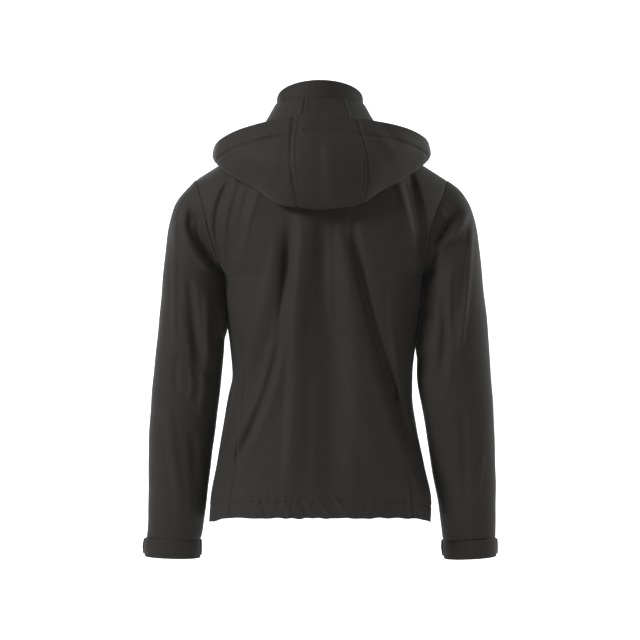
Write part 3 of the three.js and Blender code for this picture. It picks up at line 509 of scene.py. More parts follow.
def column_tops(angle_at: Callable[[Array], Array], start: Array) -> Array:
    """Height at which each line up the body meets the shoulder line or the neck seam.

    Args:
        angle_at: angle of the lines at given heights.
        start: heights to start from.

    Returns:
        The height for each line.
    """

    def holds(z: Array) -> Array:
        """Whether the body still goes on.

        Args:
            z: heights, one for each line.

        Returns:
            True below the shoulder line and outside the neck.
        """
        point, on_body = body_at(angle_at(z), z)
        deep = np.where(point[..., 1] > 0, NECK_BACK, NECK_FRONT)
        outside = (point[..., 0] / NECK_HALF) ** 2 + (point[..., 1] / deep) ** 2 > 1
        return on_body & outside

    z, step = np.array(start, float), 2
    going = np.ones(z.shape, bool)
    for _ in range(140):
        going = going & holds(z + step)
        z = np.where(going, z + step, z)
    return bisect(z, z + step, holds)


def armhole_height(angle: Array) -> Array:
    """Height of the armhole at an angle, on its lower part.

    Args:
        angle: angles from the centre back.

    Returns:
        The heights.
    """
    low = np.full(np.shape(angle), UNDERARM_Z)
    high = np.full(np.shape(angle), BACK_SEAM_TOP)
    return bisect(low, high, lambda z: ARMHOLE.at(z, "angle") > angle)


FRONT_TOP = float(armhole_height(np.array(180 - SIDE_SEAM_ANGLE)))


def edge_angle(z: Array, sign: float, x: Array | float) -> Array:
    """Angle from the centre front at which the body is `x` from the middle.

    Args:
        z: heights.
        sign: sign of X on the side.
        x: distances from the middle.

    Returns:
        The angles, in degrees.
    """
    wide = half_width(z, np.full(np.shape(z), sign))
    return np.degrees(np.arcsin((x / wide) ** (BODY_ROUNDNESS / 2)))


# Grids of points and the shells made from them


# Distances from a seam that get a row or column of points, and those on both sides of a stitched line
NEAR_SEAM = (0.7, 1.5, 2.6, 4.2, 6.0)
BESIDE_STITCH = (-2.4, -1.2, 0.0, 1.2, 2.4)


def with_extra(even: Array, extra: Sequence[float], total: float, gap: float) -> Array:
    """Even shares and extra ones, without even ones too close to an extra one.

    Args:
        even: the even shares.
        extra: the extra ones.
        total: length that the shares run over, in millimetres.
        gap: how close an even one may come.

    Returns:
        Rising shares from 0 to 1.
    """
    keep = [s for s in even if all(abs(s - e) * total > gap for e in extra)]
    return np.array(sorted({0.0, 1.0, *keep, *extra}))


def spread(total: float, step: float, near: Sequence[float] = (), both: bool = True) -> Array:
    """Shares from 0 to 1, even but with extra ones at set distances from the ends.

    Args:
        total: length that the shares run over, in millimetres.
        step: usual spacing.
        near: extra distances from an end.
        both: whether the start gets them as well as the end.

    Returns:
        Rising shares.
    """
    even = np.linspace(0, 1, max(2, round(total / step)) + 1)
    extra = [1 - d / total for d in near] + ([d / total for d in near] if both else [])
    return with_extra(even, extra, total, step * 0.35)


@dataclass
class Grid:
    """A grid of points, rows along a piece and columns across it.

    Args:
        points: outer face, in millimetres.
        around: whether the last column joins the first.
        facing: 1 where columns and then rows turn to the outside like the axes of a map, else -1.
    """

    points: Array
    around: bool = False
    facing: int = 1

    def moved(self, points: Array) -> "Grid":
        """The same grid with its points elsewhere."""
        return Grid(points, self.around, self.facing)

    def normals(self) -> Array:
        """Normals from the neighbouring points, facing out of the garment or the bag.

        Returns:
            A vector of length one for each point.
        """
        p = self.points
        along = np.gradient(p, axis=0)
        if self.around:
            across = np.roll(p, -1, 1) - np.roll(p, 1, 1)
        else:
            across = np.gradient(p, axis=1)
        normal = unit(np.cross(across, along))
        return -normal if self.facing < 0 else normal

    def trimmed(self, *edges: Edge, amount: float = 0.12) -> "Grid":
        """The grid with some of its borders moved back from their seams.

        Args:
            edges: the borders.
            amount: how far, in millimetres.

        Returns:
            The smaller grid.
        """
        p = self.points.copy()
        for edge in edges:
            first, second = {
                Edge.LOW: (p[0], p[1]), Edge.HIGH: (p[-1], p[-2]),
                Edge.START: (p[:, 0], p[:, 1]), Edge.END: (p[:, -1], p[:, -2]),
            }[edge]
            first += unit(second - first) * amount
        return self.moved(p)

    def distance(self, edge: Edge) -> Array:
        """Distance of every point from one border, along its row or column.

        Args:
            edge: the border.

        Returns:
            The distances, in millimetres.
        """
        if edge in (Edge.LOW, Edge.HIGH):
            walked = lengths_along(self.points, 0)
            return walked if edge is Edge.LOW else walked[-1:] - walked
        walked = lengths_along(self.points, 1)
        return walked if edge is Edge.START else walked[:, -1:] - walked

    def pushed(self, amount: Array) -> "Grid":
        """The grid moved out along its normals."""
        return self.moved(self.points + self.normals() * amount[..., None])

    def line(self, edge: Edge, away: float) -> tuple[Array, Array]:
        """A line at a set distance from one border.

        Args:
            edge: the border.
            away: the distance, in millimetres.

        Returns:
            Its points and their normals.
        """
        walked, points, normals = self.distance(edge), self.points, self.normals()
        if edge in (Edge.LOW, Edge.HIGH):
            walked, points, normals = walked.T, points.swapaxes(0, 1), normals.swapaxes(0, 1)
        if edge in (Edge.HIGH, Edge.END):
            walked, points, normals = walked[:, ::-1], points[:, ::-1], normals[:, ::-1]
        i = np.clip((walked < away).sum(1) - 1, 0, walked.shape[1] - 2)
        rows = np.arange(len(walked))
        span = np.maximum(walked[rows, i + 1] - walked[rows, i], 1e-6)
        t = np.clip((away - walked[rows, i]) / span, 0, 1)[:, None]
        at = points[rows, i] * (1 - t) + points[rows, i + 1] * t
        return at, unit(normals[rows, i] * (1 - t) + normals[rows, i + 1] * t)


@dataclass(frozen=True)
class Sewn:
    """A stitched line or a seam near one border of a piece.

    Args:
        edge: the border.
        away: distance of the stitching from it; 0 is the seam itself.
        groove: depth of the groove.
        width: half width of the groove.
        pucker: height of the small waves beside it.
        wave: their usual length.
    """

    edge: Edge
    away: float = 0.0
    groove: float = 0.9
    width: float = 2.0
    pucker: float = 0.25
    wave: float = 11.0

    # Lengths over which the waves shift, slowly and quickly, and over which they grow and shrink
    SHIFT, QUICK_SHIFT, GROWTH = 23.0, 9.7, 37.0
    SHIFT_SIZE, MEAN_SIZE, GROWTH_SIZE = 2.1, 0.55, 0.45
    # Slant of the waves, how far from the stitching they reach, and how near it they are still
    SLANT, REACH, STILL = 0.12, 9.0, 1.2

    def relief(self, grid: Grid, seed: float) -> Array:
        """How far the sewing pulls each point in or out.

        Args:
            grid: the grid that is sewn.
            seed: shifts the waves from piece to piece.

        Returns:
            A height for each point.
        """
        away = grid.distance(self.edge) - self.away
        other = Edge.START if self.edge in (Edge.LOW, Edge.HIGH) else Edge.LOW
        run = grid.distance(other) + seed
        shift = self.SHIFT_SIZE * np.sin(run / self.SHIFT + seed)
        phase = 2 * math.pi * run / self.wave + shift + np.sin(run / self.QUICK_SHIFT)
        strength = self.MEAN_SIZE + self.GROWTH_SIZE * np.sin(run / self.GROWTH + 2 * seed)
        waves = self.pucker * strength * np.sin(phase + away * self.SLANT)
        waves = waves * np.exp(-np.abs(away) / self.REACH)
        groove = self.groove * np.exp(-((away / self.width) ** 2))
        return waves * (1 - np.exp(-(away / self.STILL) ** 2)) - groove


# Two patterns of slow waves, the second finer and weaker: lengths along X and Z and along Z and Y,
# and shares of the seed
SLOW_WAVES = (31.0, 57.0, 43.0, -39.0, 1.0, 1.7)
FINE_WAVES = (17.0, -29.0, 21.0, 24.0, 2.3, 0.6)
FINE_SIZE = 0.45


def drift(points: Array, seed: float, size: float) -> Array:
    """Slow unevenness of worn cloth.

    Args:
        points: places.
        seed: changes the pattern from piece to piece.
        size: about half of the largest height.

    Returns:
        A small height for each place.
    """
    x, y, z = points[..., 0], points[..., 1], points[..., 2]
    slow, fine = (
        np.sin(x / a + z / b + first * seed) * np.sin(z / c + y / d + second * seed)
        for a, b, c, d, first, second in (SLOW_WAVES, FINE_WAVES)
    )
    return size * (slow + FINE_SIZE * fine)


# Waves round the hem: how many there are, how many times they grow and shrink, and how many slow ones
HEM_WAVES, HEM_GROWTH, HEM_SLOW_WAVES = 31, 5, 13
HEM_SHIFT, HEM_REACH = 1.3, 26.0


def hem_waves(grid: Grid, size: float) -> Grid:
    """Lets the edge at the hem go up and down unevenly, the same on all pieces that meet there.

    Args:
        grid: a piece with its hem at row 0.
        size: how far the edge moves.

    Returns:
        The changed grid.
    """
    points = grid.points.copy()
    x, y = points[..., 0], points[..., 1]
    turn = np.arctan2(x, y)
    wave = np.sin(HEM_WAVES * turn + HEM_SHIFT) * (0.6 + 0.4 * np.sin(HEM_GROWTH * turn))
    wave = wave + 0.7 * np.sin(HEM_SLOW_WAVES * turn)
    points[..., 2] += size * wave * (1 - ease(grid.distance(Edge.LOW), 0, HEM_REACH))
    return grid.moved(points)


@dataclass
class Shell:
    """A piece of cloth with two faces and a folded or cut border.

    Args:
        name: name of the piece.
        grid: its outer face.
        thickness: distance to the inner face.
        low: whether the first row has a rounded fold.
        high: whether the last row has one.
    """

    name: str
    grid: Grid
    thickness: float
    low: bool = False
    high: bool = False

    ARC = (0.2, 0.5, 0.8)

    def build(self) -> bpy.types.Object:
        """Makes the mesh object, in metres, with its cloth coordinates.

        Returns:
            The object.
        """
        outer, normals = self.grid.points, self.grid.normals()
        inner = outer - normals * self.thickness
        rows = [outer]
        walk = lengths_along(outer, 0)
        cloth_v = [walk]
        for at_end, folded in ((-1, self.high), (0, self.low)):
            if folded:
                rows.append(self._fold(outer, inner, at_end))
                cloth_v.append(np.repeat(walk[[at_end]], len(self.ARC), 0))
            if at_end == -1:
                rows.append(inner[::-1])
                cloth_v.append(walk[::-1])
        points = np.concatenate(rows)
        width = lengths_along(outer, 1)[:, -1:].mean()
        across = np.linspace(0, 1, outer.shape[1])[None, :] * width
        uv = np.stack([np.broadcast_to(across, points.shape[:2]), np.concatenate(cloth_v)], -1)
        return self._mesh(points, uv)

    def _fold(self, outer: Array, inner: Array, at_end: int) -> Array:
        """Rows of points that round the border over from one face to the other.

        Args:
            outer: rows of the outer face.
            inner: rows of the inner face.
            at_end: 0 for the first row, -1 for the last.

        Returns:
            The rows of the fold.
        """
        step = outer[1] - outer[0] if at_end == 0 else outer[-2] - outer[-1]
        out = -unit(step) * self.thickness / 2
        start, stop = (inner[0], outer[0]) if at_end == 0 else (outer[-1], inner[-1])
        middle, half = (start + stop) / 2, (start - stop) / 2
        turn = [math.pi * s for s in self.ARC]
        return np.stack([middle + half * math.cos(a) + out * math.sin(a) for a in turn])

    def _mesh(self, points: Array, uv: Array) -> bpy.types.Object:
        """Joins the rows into one closed surface.

        Args:
            points: all rows, out over one face and back over the other.
            uv: their cloth coordinates.

        Returns:
            The object.
        """
        count, cols = points.shape[:2]
        steps = cols if self.grid.around else cols - 1
        r = np.repeat(np.arange(count), steps)
        c = np.tile(np.arange(steps), count)
        right, below = (c + 1) % cols, (r + 1) % count
        faces = np.stack([r * cols + c, r * cols + right, below * cols + right, below * cols + c], 1)
        quads = faces.tolist()
        if not self.grid.around:
            quads += self._caps(count, cols)
        if self.grid.facing < 0:
            quads = [q[::-1] for q in quads]
        return new_mesh(self.name, points.reshape(-1, 3), quads, uv.reshape(-1, 2))

    def _caps(self, count: int, cols: int) -> list[list[int]]:
        """Faces that close the two side borders.

        Args:
            count: number of rows, folds included.
            cols: number of columns.

        Returns:
            Lists of point numbers.
        """
        rows = self.grid.points.shape[0]
        high = len(self.ARC) if self.high else 0
        caps: list[list[int]] = []
        for col, flip in ((0, False), (cols - 1, True)):
            strip = []
            for i in range(rows - 1):
                far = 2 * rows + high - 1 - i
                strip.append([i, i + 1, far - 1, far])
            if high:
                strip.append(list(range(rows - 1, rows + high + 1)))
            if self.low:
                strip.append([2 * rows + high - 1, *range(2 * rows + high, count), 0])
            for face in strip:
                ids = [i * cols + col for i in face]
                caps.append(ids[::-1] if flip else ids)
        return caps


def new_mesh(
    name: str, points: Array, faces: list[list[int]], uv: Array | None = None
) -> bpy.types.Object:
    """Makes a smooth mesh object from points in millimetres.

    Args:
        name: name of the object.
        points: its points.
        faces: its faces.
        uv: cloth coordinates of the points, in millimetres.

    Returns:
        The object, linked to the scene.
    """
    mesh = bpy.data.meshes.new(name)
    mesh.from_pydata((np.asarray(points) * METRE).tolist(), [], faces)
    mesh.update()
    if uv is not None:
        layer = mesh.attributes.new("cloth", "FLOAT_VECTOR", "POINT")
        flat = np.concatenate([uv, np.zeros((len(uv), 1))], 1).astype(np.float32)
        layer.data.foreach_set("vector", flat.ravel())
    mesh.shade_smooth()
    mesh.set_sharp_from_angle(angle=SHARP_ANGLE)
    obj = bpy.data.objects.new(name, mesh)
    bpy.context.scene.collection.objects.link(obj)
    return obj


def smooth_rows(coarse: Array, step: float, near: Sequence[float] = ()) -> tuple[Array, Array]:
    """Rows between a few given ones, along smooth curves.

    Args:
        coarse: the given rows.
        step: usual distance between the new rows.
        near: extra distances from both ends.

    Returns:
        The new rows, and the place of each among the given ones.
    """
    steps = np.linalg.norm(np.diff(coarse, axis=0), axis=-1).mean(1)
    length = np.concatenate([[0], np.cumsum(steps)])
    slope = np.empty_like(coarse)
    span = (length[2:] - length[:-2])[:, None, None]
    slope[1:-1] = (coarse[2:] - coarse[:-2]) / span
    slope[0] = (coarse[1] - coarse[0]) / (length[1] - length[0])
    slope[-1] = (coarse[-1] - coarse[-2]) / (length[-1] - length[-2])
    want = spread(length[-1], step, near) * length[-1]
    i = np.clip(np.searchsorted(length, want, "right") - 1, 0, len(length) - 2)
    h = (length[i + 1] - length[i])[:, None, None]
    t = (want - length[i])[:, None, None] / h
    rows = between(coarse[i], coarse[i + 1], slope[i] * h, slope[i + 1] * h, t)
    return rows, np.interp(want, length, np.arange(len(length)))


# The cut pieces of the body


@dataclass(frozen=True)
class Body:
    """The body of the jacket: back, side panels and fronts.

    Args:
        row_step: distance between the rows of its grids.
        column_step: distance between their columns.
        hem_stitch: height of the hem's stitching above the edge.
    """

    row_step: float = 3.6
    column_step: float = 3.1
    hem_stitch: float = 27.0

    # Usual heights below and above the armhole's start, and usual widths
    BELOW, ABOVE = 470.0, 230.0
    HALF_BACK, SIDE_WIDTH, FRONT_WIDTH = 205.0, 135.0, 225.0
    # Extra rows near the hem, and how near an even row or column may come to an extra one
    NEAR_HEM, ROW_GAP, COLUMN_GAP = (0.8, 1.8, 3.2), 1.2, 1.4
    # Rows lie closer above the armhole's start, and are found from this many along fine lines
    UPPER_STEP, FINE_ROWS = 0.85, 401
    # The search for the top starts this far above that
    SEARCH_ABOVE = 40.0

    def _shares_below(self, height: float, top_near: bool) -> Array:
        """Shares from the hem up, closer together at the edge, the stitching and the top.

        Args:
            height: usual height of the piece.
            top_near: whether its top is a seam.

        Returns:
            Rising shares from 0 to 1.
        """
        low = [*self.NEAR_HEM, *(self.hem_stitch + d for d in BESIDE_STITCH)]
        even = np.linspace(0, 1, round(height / self.row_step) + 1)
        extra = [d / height for d in low] + ([1 - d / height for d in NEAR_SEAM] if top_near else [])
        return with_extra(even, extra, height, self.ROW_GAP)

    def _grid(
        self,
        shares: Array,
        low_angle: Callable[[Array], Array],
        low_top: Array,
        high_angle: Callable[[Array], Array] | None,
    ) -> Array:
        """Points of a cut piece, row 0 at the hem.

        Args:
            shares: columns of the piece.
            low_angle: angle at given heights, from the hem to `low_top`.
            low_top: top of that part, for each column.
            high_angle: angle above it, up to the shoulder line or the neck.

        Returns:
            A grid of points.
        """
        hem_z = HEM.at(np.abs(low_angle(np.full(len(shares), -700.0))), "z")
        steps = self._shares_below(self.BELOW, high_angle is None)[:, None]
        z = hem_z + (low_top - hem_z) * steps
        rows = [body_at(low_angle(z), z)[0]]
        if high_angle is not None:
            end = column_tops(high_angle, low_top + self.SEARCH_ABOVE)
            fine = end - (end - low_top) * (1 - np.linspace(0, 1, self.FINE_ROWS)[:, None]) ** 2
            walked = lengths_along(body_at(high_angle(fine), fine)[0], 0)
            step = self.row_step * self.UPPER_STEP
            parts = spread(self.ABOVE, step, NEAR_SEAM, both=False)[1:]
            z = np.stack([
                np.interp(parts * walked[-1, c], walked[:, c], fine[:, c]) for c in range(len(shares))
            ], 1)
            rows.append(body_at(high_angle(z), z)[0])
        return np.concatenate(rows)

    def _neck_share(self, sign: float) -> float:
        """Share of the armhole angle at the neck point of the shoulder.

        Args:
            sign: sign of X on the side.

        Returns:
            The share.
        """
        wide = float(half_width(0.0, sign))
        turn = math.degrees(math.asin((NECK_HALF / wide) ** (BODY_ROUNDNESS / 2)))
        return turn / float(ARMHOLE.at(0.0, "angle"))

    def _columns(self, width: float, neck: float) -> Array:
        """Shares of a half with a column at the neck point and closer ones at the far seam.

        Args:
            width: usual width of the half.
            neck: share of the neck point.

        Returns:
            Rising shares from 0 to 1.
        """
        base = spread(width, self.column_step, NEAR_SEAM, both=False)
        keep = [s for s in base if abs(s - neck) * width > self.COLUMN_GAP]
        return np.array(sorted([*keep, neck]))

    def back(self) -> Grid:
        """Grid of the back panel, columns from the wearer's right to the left.

        Returns:
            The grid, row 0 at the hem.
        """
        right = -self._columns(self.HALF_BACK, self._neck_share(-1))[::-1]
        left = self._columns(self.HALF_BACK, self._neck_share(1))[1:]
        shares = np.concatenate([right, left])
        return Grid(self._grid(
            shares,
            lambda z: shares * BACK_SEAM.at(z, "angle"),
            np.full(len(shares), BACK_SEAM_TOP),
            lambda z: shares * ARMHOLE.at(z, "angle"),
        ), facing=-1)

    def side(self, side: Side) -> Grid:
        """Grid of a side panel, columns from the back seam to the side seam.

        Args:
            side: which one.

        Returns:
            The grid, row 0 at the hem.
        """
        shares = spread(self.SIDE_WIDTH, self.column_step, NEAR_SEAM)
        first = float(ARMHOLE.at(BACK_SEAM_TOP, "angle"))
        angle = first + (SIDE_SEAM_ANGLE - first) * shares
        tops = armhole_height(np.where(angle >= 90, 180 - angle, angle))
        hem_z = float(HEM.at(BACK_SEAM.rows[0][1], "z"))

        def low_angle(z: Array) -> Array:
            """Angles of the columns.

            Args:
                z: heights, one for each column.

            Returns:
                An angle for each height.
            """
            done = np.clip((z - hem_z) / (tops - hem_z), 0, 1)
            at = np.where(shares > 0, hem_z + (BACK_SEAM_TOP - hem_z) * done, z)
            seam = BACK_SEAM.at(at, "angle")
            return side.value * (seam + (SIDE_SEAM_ANGLE - seam) * shares)

        return Grid(self._grid(shares, low_angle, tops, None), facing=-side.value)

    def front(self, side: Side) -> Grid:
        """Grid of a front, columns from the opening edge to the side seam.

        Args:
            side: which one.

        Returns:
            The grid, row 0 at the hem.
        """
        sign = float(side.value)
        edge = float(edge_angle(np.array(0.0), sign, FRONT_EDGE))
        top_angle = float(ARMHOLE.at(0.0, "angle"))
        neck = (self._neck_share(sign) * top_angle - edge) / (top_angle - edge)
        shares = self._columns(self.FRONT_WIDTH, neck)

        def turned(z: Array, limit: Array | float) -> Array:
            """Angles of the columns between the opening edge and a limit."""
            start = edge_angle(z, sign, FRONT_EDGE)
            return sign * (180 - (start + (limit - start) * shares))

        return Grid(self._grid(
            shares,
            lambda z: turned(z, 180 - SIDE_SEAM_ANGLE),
            np.full(len(shares), FRONT_TOP),
            lambda z: turned(z, ARMHOLE.at(z, "angle")),
        ), facing=side.value)

    def neck_line(self) -> Array:
        """The neck seam from the left opening edge round the back to the right one.

        Returns:
            Points along it.
        """
        parts = []
        for side in (Side.LEFT, Side.RIGHT):
            grid = self.front(side).points[-1]
            top = grid[np.abs(grid[:, 0]) <= NECK_HALF + 0.01]
            parts.append(top if side is Side.LEFT else top[::-1])
        back = self.back().points[-1]
        middle = back[np.abs(back[:, 0]) < NECK_HALF - 0.5][::-1]
        return np.concatenate([parts[0], middle, parts[1]])


# Sleeves and cuffs

# Each row is a section: X and Z of its outer point, X and Z of its inner point, half depth, Y
SLEEVE_SECTIONS = {
    Side.LEFT: (
        (243.9, -105.6, 177.5, -270, 60, 0), (257.5, -122, 176.5, -284, 63, 0),
        (266.8, -140, 175.5, -300, 65, 1), (275.7, -173, 174.5, -318, 67, 1),
        (280.8, -210, 173.5, -335, 68, 2), (285, -255, 173.5, -350, 68, 2),
        (288.8, -303, 173.5, -365, 67, 3), (294.8, -360, 175, -400, 65, 5),
        (300, -420, 178.5, -445, 63, 7), (305.8, -480, 185, -495, 60, 6),
        (311.2, -550, 193, -560, 56, 1), (311.9, -620, 201, -625, 52, -8),
        (313.8, -680, 209, -683, 46, -19), (316, -725, 215.5, -727, 42, -27),
        (317.6, -738, 218.6, -740, 41, -29),
    ),
    Side.RIGHT: (
        (253.5, -104.2, 191.5, -270, 60, 0), (267.5, -122, 190, -284, 63, 0),
        (276, -140, 188.5, -300, 65, 1), (284.5, -173, 186, -318, 67, 1),
        (289.5, -212, 183.5, -337, 68, 2), (294.5, -257, 180.5, -354, 68, 2),
        (298.9, -303, 178, -375, 67, 3), (304.5, -360, 175.8, -408, 65, 5),
        (309, -420, 176.5, -448, 63, 7), (313, -480, 184, -497, 60, 6),
        (317.5, -550, 193.5, -550, 56, 1), (319.5, -620, 205, -620, 52, -8),
        (320.7, -680, 216, -680, 46, -19), (321.8, -725, 223, -727, 42, -27),
        (322.1, -738, 224.6, -741, 41, -29),
    ),
}
CUFF_SECTIONS = {
    Side.LEFT: (
        (320.5, -738.6, 219, -740.6, 42.5, -29.2), (323.5, -755, 218.6, -757, 42.5, -31),
        (322, -772, 219.5, -775, 41, -33),
    ),
    Side.RIGHT: (
        (323.5, -738.6, 225, -741.6, 42.5, -29.2), (324.5, -757, 224.2, -758, 42.5, -31),
        (324, -772, 227.5, -777, 41, -33),
    ),
}


def section(row: Sequence[float], sign: int, turns: Array) -> Array:
    """Points of one section of a sleeve.

    Args:
        row: its outer and inner points, half depth and centre.
        sign: sign of X on its side.
        turns: turns round the sleeve: 0 outside, 90 behind, 180 next to the body.

    Returns:
        A ring of points.
    """
    ox, oz, ix, iz, half, y = row
    across = rounded(np.cos(np.radians(turns)), SLEEVE_ROUNDNESS)
    deep = rounded(np.sin(np.radians(turns)), SLEEVE_ROUNDNESS)
    return np.stack([
        sign * (ox + ix + (ox - ix) * across) / 2,
        y + half * deep,
        (oz + iz + (oz - iz) * across) / 2,
    ], -1)


@dataclass(frozen=True)
class Sleeve:
    """A plain long sleeve with its cuff and the tab on the cuff.

    Args:
        side: the wearer's left or right.
        columns: number of columns round it.
        row_step: distance between rows.
        tab_low: lower edge of the tab, as a share of the cuff from the top.
        tab_high: upper edge.
        clearance: free space between sleeve and body where they lie together.
        tuck: how far its end goes into the cuff.
    """

    side: Side
    columns: int = 180
    row_step: float = 4.0
    tab_low: float = 0.12
    tab_high: float = 0.86
    clearance: float = 0.6
    tuck: float = 7.0

    # Height below which the sleeve hangs free of the body
    TOUCH = {Side.LEFT: -352.0, Side.RIGHT: -388.0}
    # How far the tab's face lies above the cuff, and the turns that it runs between
    TAB_RAISE, TAB_START, TAB_END = 1.9, 0.49, 1.01
    TAB_ROWS = 15
    # The armhole: points along each half, and the height that the search for its top starts from
    ARMHOLE_POINTS, SEARCH_FROM = 600, -180.0
    # Direction in X and Z from the armhole out, and how far the sleeve starts off the seam
    OUTWARD, SEAM_GAP = (0.958, -0.285), 0.05
    # Creases come in over the first and last sections and off the outer and inner sides
    CREASE_SECTIONS, CREASE_ASIDE, FRONT_CREASE = 2, (0.1, 0.6), 0.7
    # Share of the inner side that lies against the body, and the height over which it comes in
    INNER_SIDE, TOUCH_FADE = (0.55, 0.97), 25.0

    def turns(self) -> Array:
        """Evenly spaced turns round the sleeve."""
        return np.arange(self.columns) * 360.0 / self.columns

    def _armhole_half(self, behind: bool) -> Array:
        """The armhole seam on one side of the shoulder line.

        Args:
            behind: whether it is the half on the back.

        Returns:
            Points from the underarm up.
        """

        def angle_at(z: Array) -> Array:
            """Angle of the armhole at given heights."""
            angle = ARMHOLE.at(z, "angle")
            return float(self.side.value) * (angle if behind else 180 - angle)

        top = column_tops(angle_at, np.array([self.SEARCH_FROM]))[0]
        z = UNDERARM_Z + (top - UNDERARM_Z) * np.linspace(0, 1, self.ARMHOLE_POINTS) ** 2
        return body_at(angle_at(z), z)[0]

    def ring(self) -> Array:
        """The armhole seam, one point for each turn.

        Returns:
            A ring of points.
        """
        turns = self.turns()
        rings = []
        for line, start in ((self._armhole_half(True)[::-1], 0.0), (self._armhole_half(False), 180.0)):
            walked = lengths_along(line, 0)
            part = turns[(turns >= start) & (turns < start + 180)]
            rings.append(read_line((part - start) / 180 * walked[-1], walked, line))
        return np.concatenate(rings)

    def grid(self) -> Grid:
        """The sleeve from the armhole down to the cuff.

        Returns:
            The grid, row 0 at the armhole.
        """
        sign = self.side.value
        away = np.array([sign * self.OUTWARD[0], 0, self.OUTWARD[1]]) * self.SEAM_GAP
        rows = [self.ring() + away]
        rows += [section(row, sign, self.turns()) for row in SLEEVE_SECTIONS[self.side]]
        points, place = smooth_rows(np.stack(rows), self.row_step, NEAR_SEAM)
        grid = Grid(points, True, -sign)
        normal = grid.normals()
        last = len(rows) - 1
        near = self.CREASE_SECTIONS
        fade = (ease(place, 0, near) * ease(last - place, 0, near))[:, None]
        push = SLEEVE_CREASES.height(points[..., 0], points[..., 2])
        push = push * ease(np.abs(normal[..., 1]), *self.CREASE_ASIDE) * fade
        return grid.pushed(push * np.where(normal[..., 1] > 0, 1, self.FRONT_CREASE))

    def fitted(self, grid: Grid) -> Grid:
        """Lays the upper sleeve next to the side panel and tucks its end into the cuff.

        Args:
            grid: the sleeve with its seams and folds.

        Returns:
            The fitted grid.
        """
        points, sign = grid.points.copy(), float(self.side.value)
        z = points[..., 2]
        inner = np.cos(np.radians(self.turns() - 180))
        gap = points[..., 0] * sign - half_width(z, np.full(z.shape, sign)) - self.clearance
        low = self.TOUCH[self.side]
        weight = ease(inner, *self.INNER_SIDE) * ease(z, low - self.TOUCH_FADE, low)
        points[..., 0] -= sign * np.maximum(gap, 0) * weight
        points[-1] += unit(points[-1] - points[-2]) * self.tuck
        return grid.moved(points)

    def cuff_grid(self) -> Grid:
        """The cuff from its seam down to its edge.

        Returns:
            The grid, row 0 at the seam.
        """
        sign = self.side.value
        rows = [section(row, sign, self.turns()) for row in CUFF_SECTIONS[self.side]]
        points, _ = smooth_rows(np.stack(rows), 1.6, (0.6, 1.3))
        return Grid(points, True, -sign)

    def tab_grid(self) -> Grid:
        """The tab, lying on the front half of the cuff.

        Returns:
            The grid, row 0 at its upper edge.
        """
        cuff = self.cuff_grid()
        rows, cols = cuff.points.shape[:2]
        raised = cuff.pushed(np.full((rows, cols), self.TAB_RAISE)).points
        picked = np.arange(round(self.TAB_START * cols), round(self.TAB_END * cols) + 1) % cols
        place = np.linspace(self.tab_low, self.tab_high, self.TAB_ROWS) * (rows - 1)
        low = np.minimum(place.astype(int), rows - 2)
        share = (place - low)[:, None, None]
        points = raised[low] * (1 - share) + raised[low + 1] * share
        return Grid(points[:, picked], False, -self.side.value)


# Collar and hood


@dataclass(frozen=True)
class Collar:
    """The stand collar, from the neck seam to its rim.

    Args:
        base: the neck seam, from the left opening edge round the back to the right one.
        half: half width of the rim.
        back: how far the rim stands back.
        front: how far it stands forward.
        z: height of the rim at the sides.
        rise: how much higher it is at the back.
        drop: how much lower it is at the front.
        belly: how far the middle of its height stands out.
    """

    base: Array
    half: float = 78.3
    back: float = 58.0
    front: float = 56.0
    z: float = 61.5
    rise: float = 27.5
    drop: float = 35.0
    belly: float = 2.5

    # Usual height, and how far its lower edge lies above the neck seam
    HEIGHT, LIFT = 75.0, 0.3
    COLUMN_STEP, ROW_STEP = 2.8, 2.6

    def point(self, base: Array, share: Array) -> Array:
        """Points of the collar.

        Args:
            base: points on the neck seam.
            share: 0 at the seam to 1 at the rim.

        Returns:
            The points of the outer face.
        """
        deep = np.where(base[..., 1] > 0, NECK_BACK, NECK_FRONT)
        turn = np.arctan2(base[..., 0] / NECK_HALF, base[..., 1] / deep)
        behind = np.cos(turn) > 0
        rim = np.stack([
            self.half * np.sin(turn),
            np.where(behind, self.back, self.front) * np.cos(turn),
            self.z + np.where(behind, self.rise, self.drop) * np.cos(turn),
        ], -1)
        s = np.broadcast_to(share, turn.shape)[..., None]
        out = np.stack([np.sin(turn), np.cos(turn), np.zeros_like(turn)], -1)
        point = base * (1 - s) + rim * s + out * self.belly * 4 * s * (1 - s)
        edge = np.abs(base[..., 0]) < FRONT_EDGE + 0.05
        point[..., 0] = np.where(edge, base[..., 0], point[..., 0])
        return point

    def seated(self) -> Array:
        """The collar's lower edge, just above the seam."""
        return self.base + np.array([0, 0, self.LIFT])

    def grid(self) -> Grid:
        """Grid of the collar, row 0 at the neck seam.

        Returns:
            The grid.
        """
        base = self.seated()
        walked = lengths_along(base, 0)
        want = spread(walked[-1], self.COLUMN_STEP, (0.7, 1.5, 2.6)) * walked[-1]
        line = read_line(want, walked, base)
        shares = spread(self.HEIGHT, self.ROW_STEP, (0.8, 1.6, 2.8, 4.4))
        return Grid(np.stack([self.point(line, np.array(s)) for s in shares]), facing=1)

    def at(self, angle: Array, z: Array) -> Array:
        """Points at given angles round the hood's axis and given heights.

        Args:
            angle: the angles.
            z: the heights.

        Returns:
            The points on the collar's outer face.
        """
        base = self.seated()
        bearing = np.degrees(np.arctan2(base[:, 0], base[:, 1] - HOOD_AXIS_Y))
        order = np.argsort(bearing)
        foot = read_line(angle, bearing[order], base[order])
        seam, rim = np.zeros(len(angle)), np.ones(len(angle))
        share = bisect(seam, rim, lambda s: self.point(foot, s)[..., 2] < z)
        return self.point(foot, share)


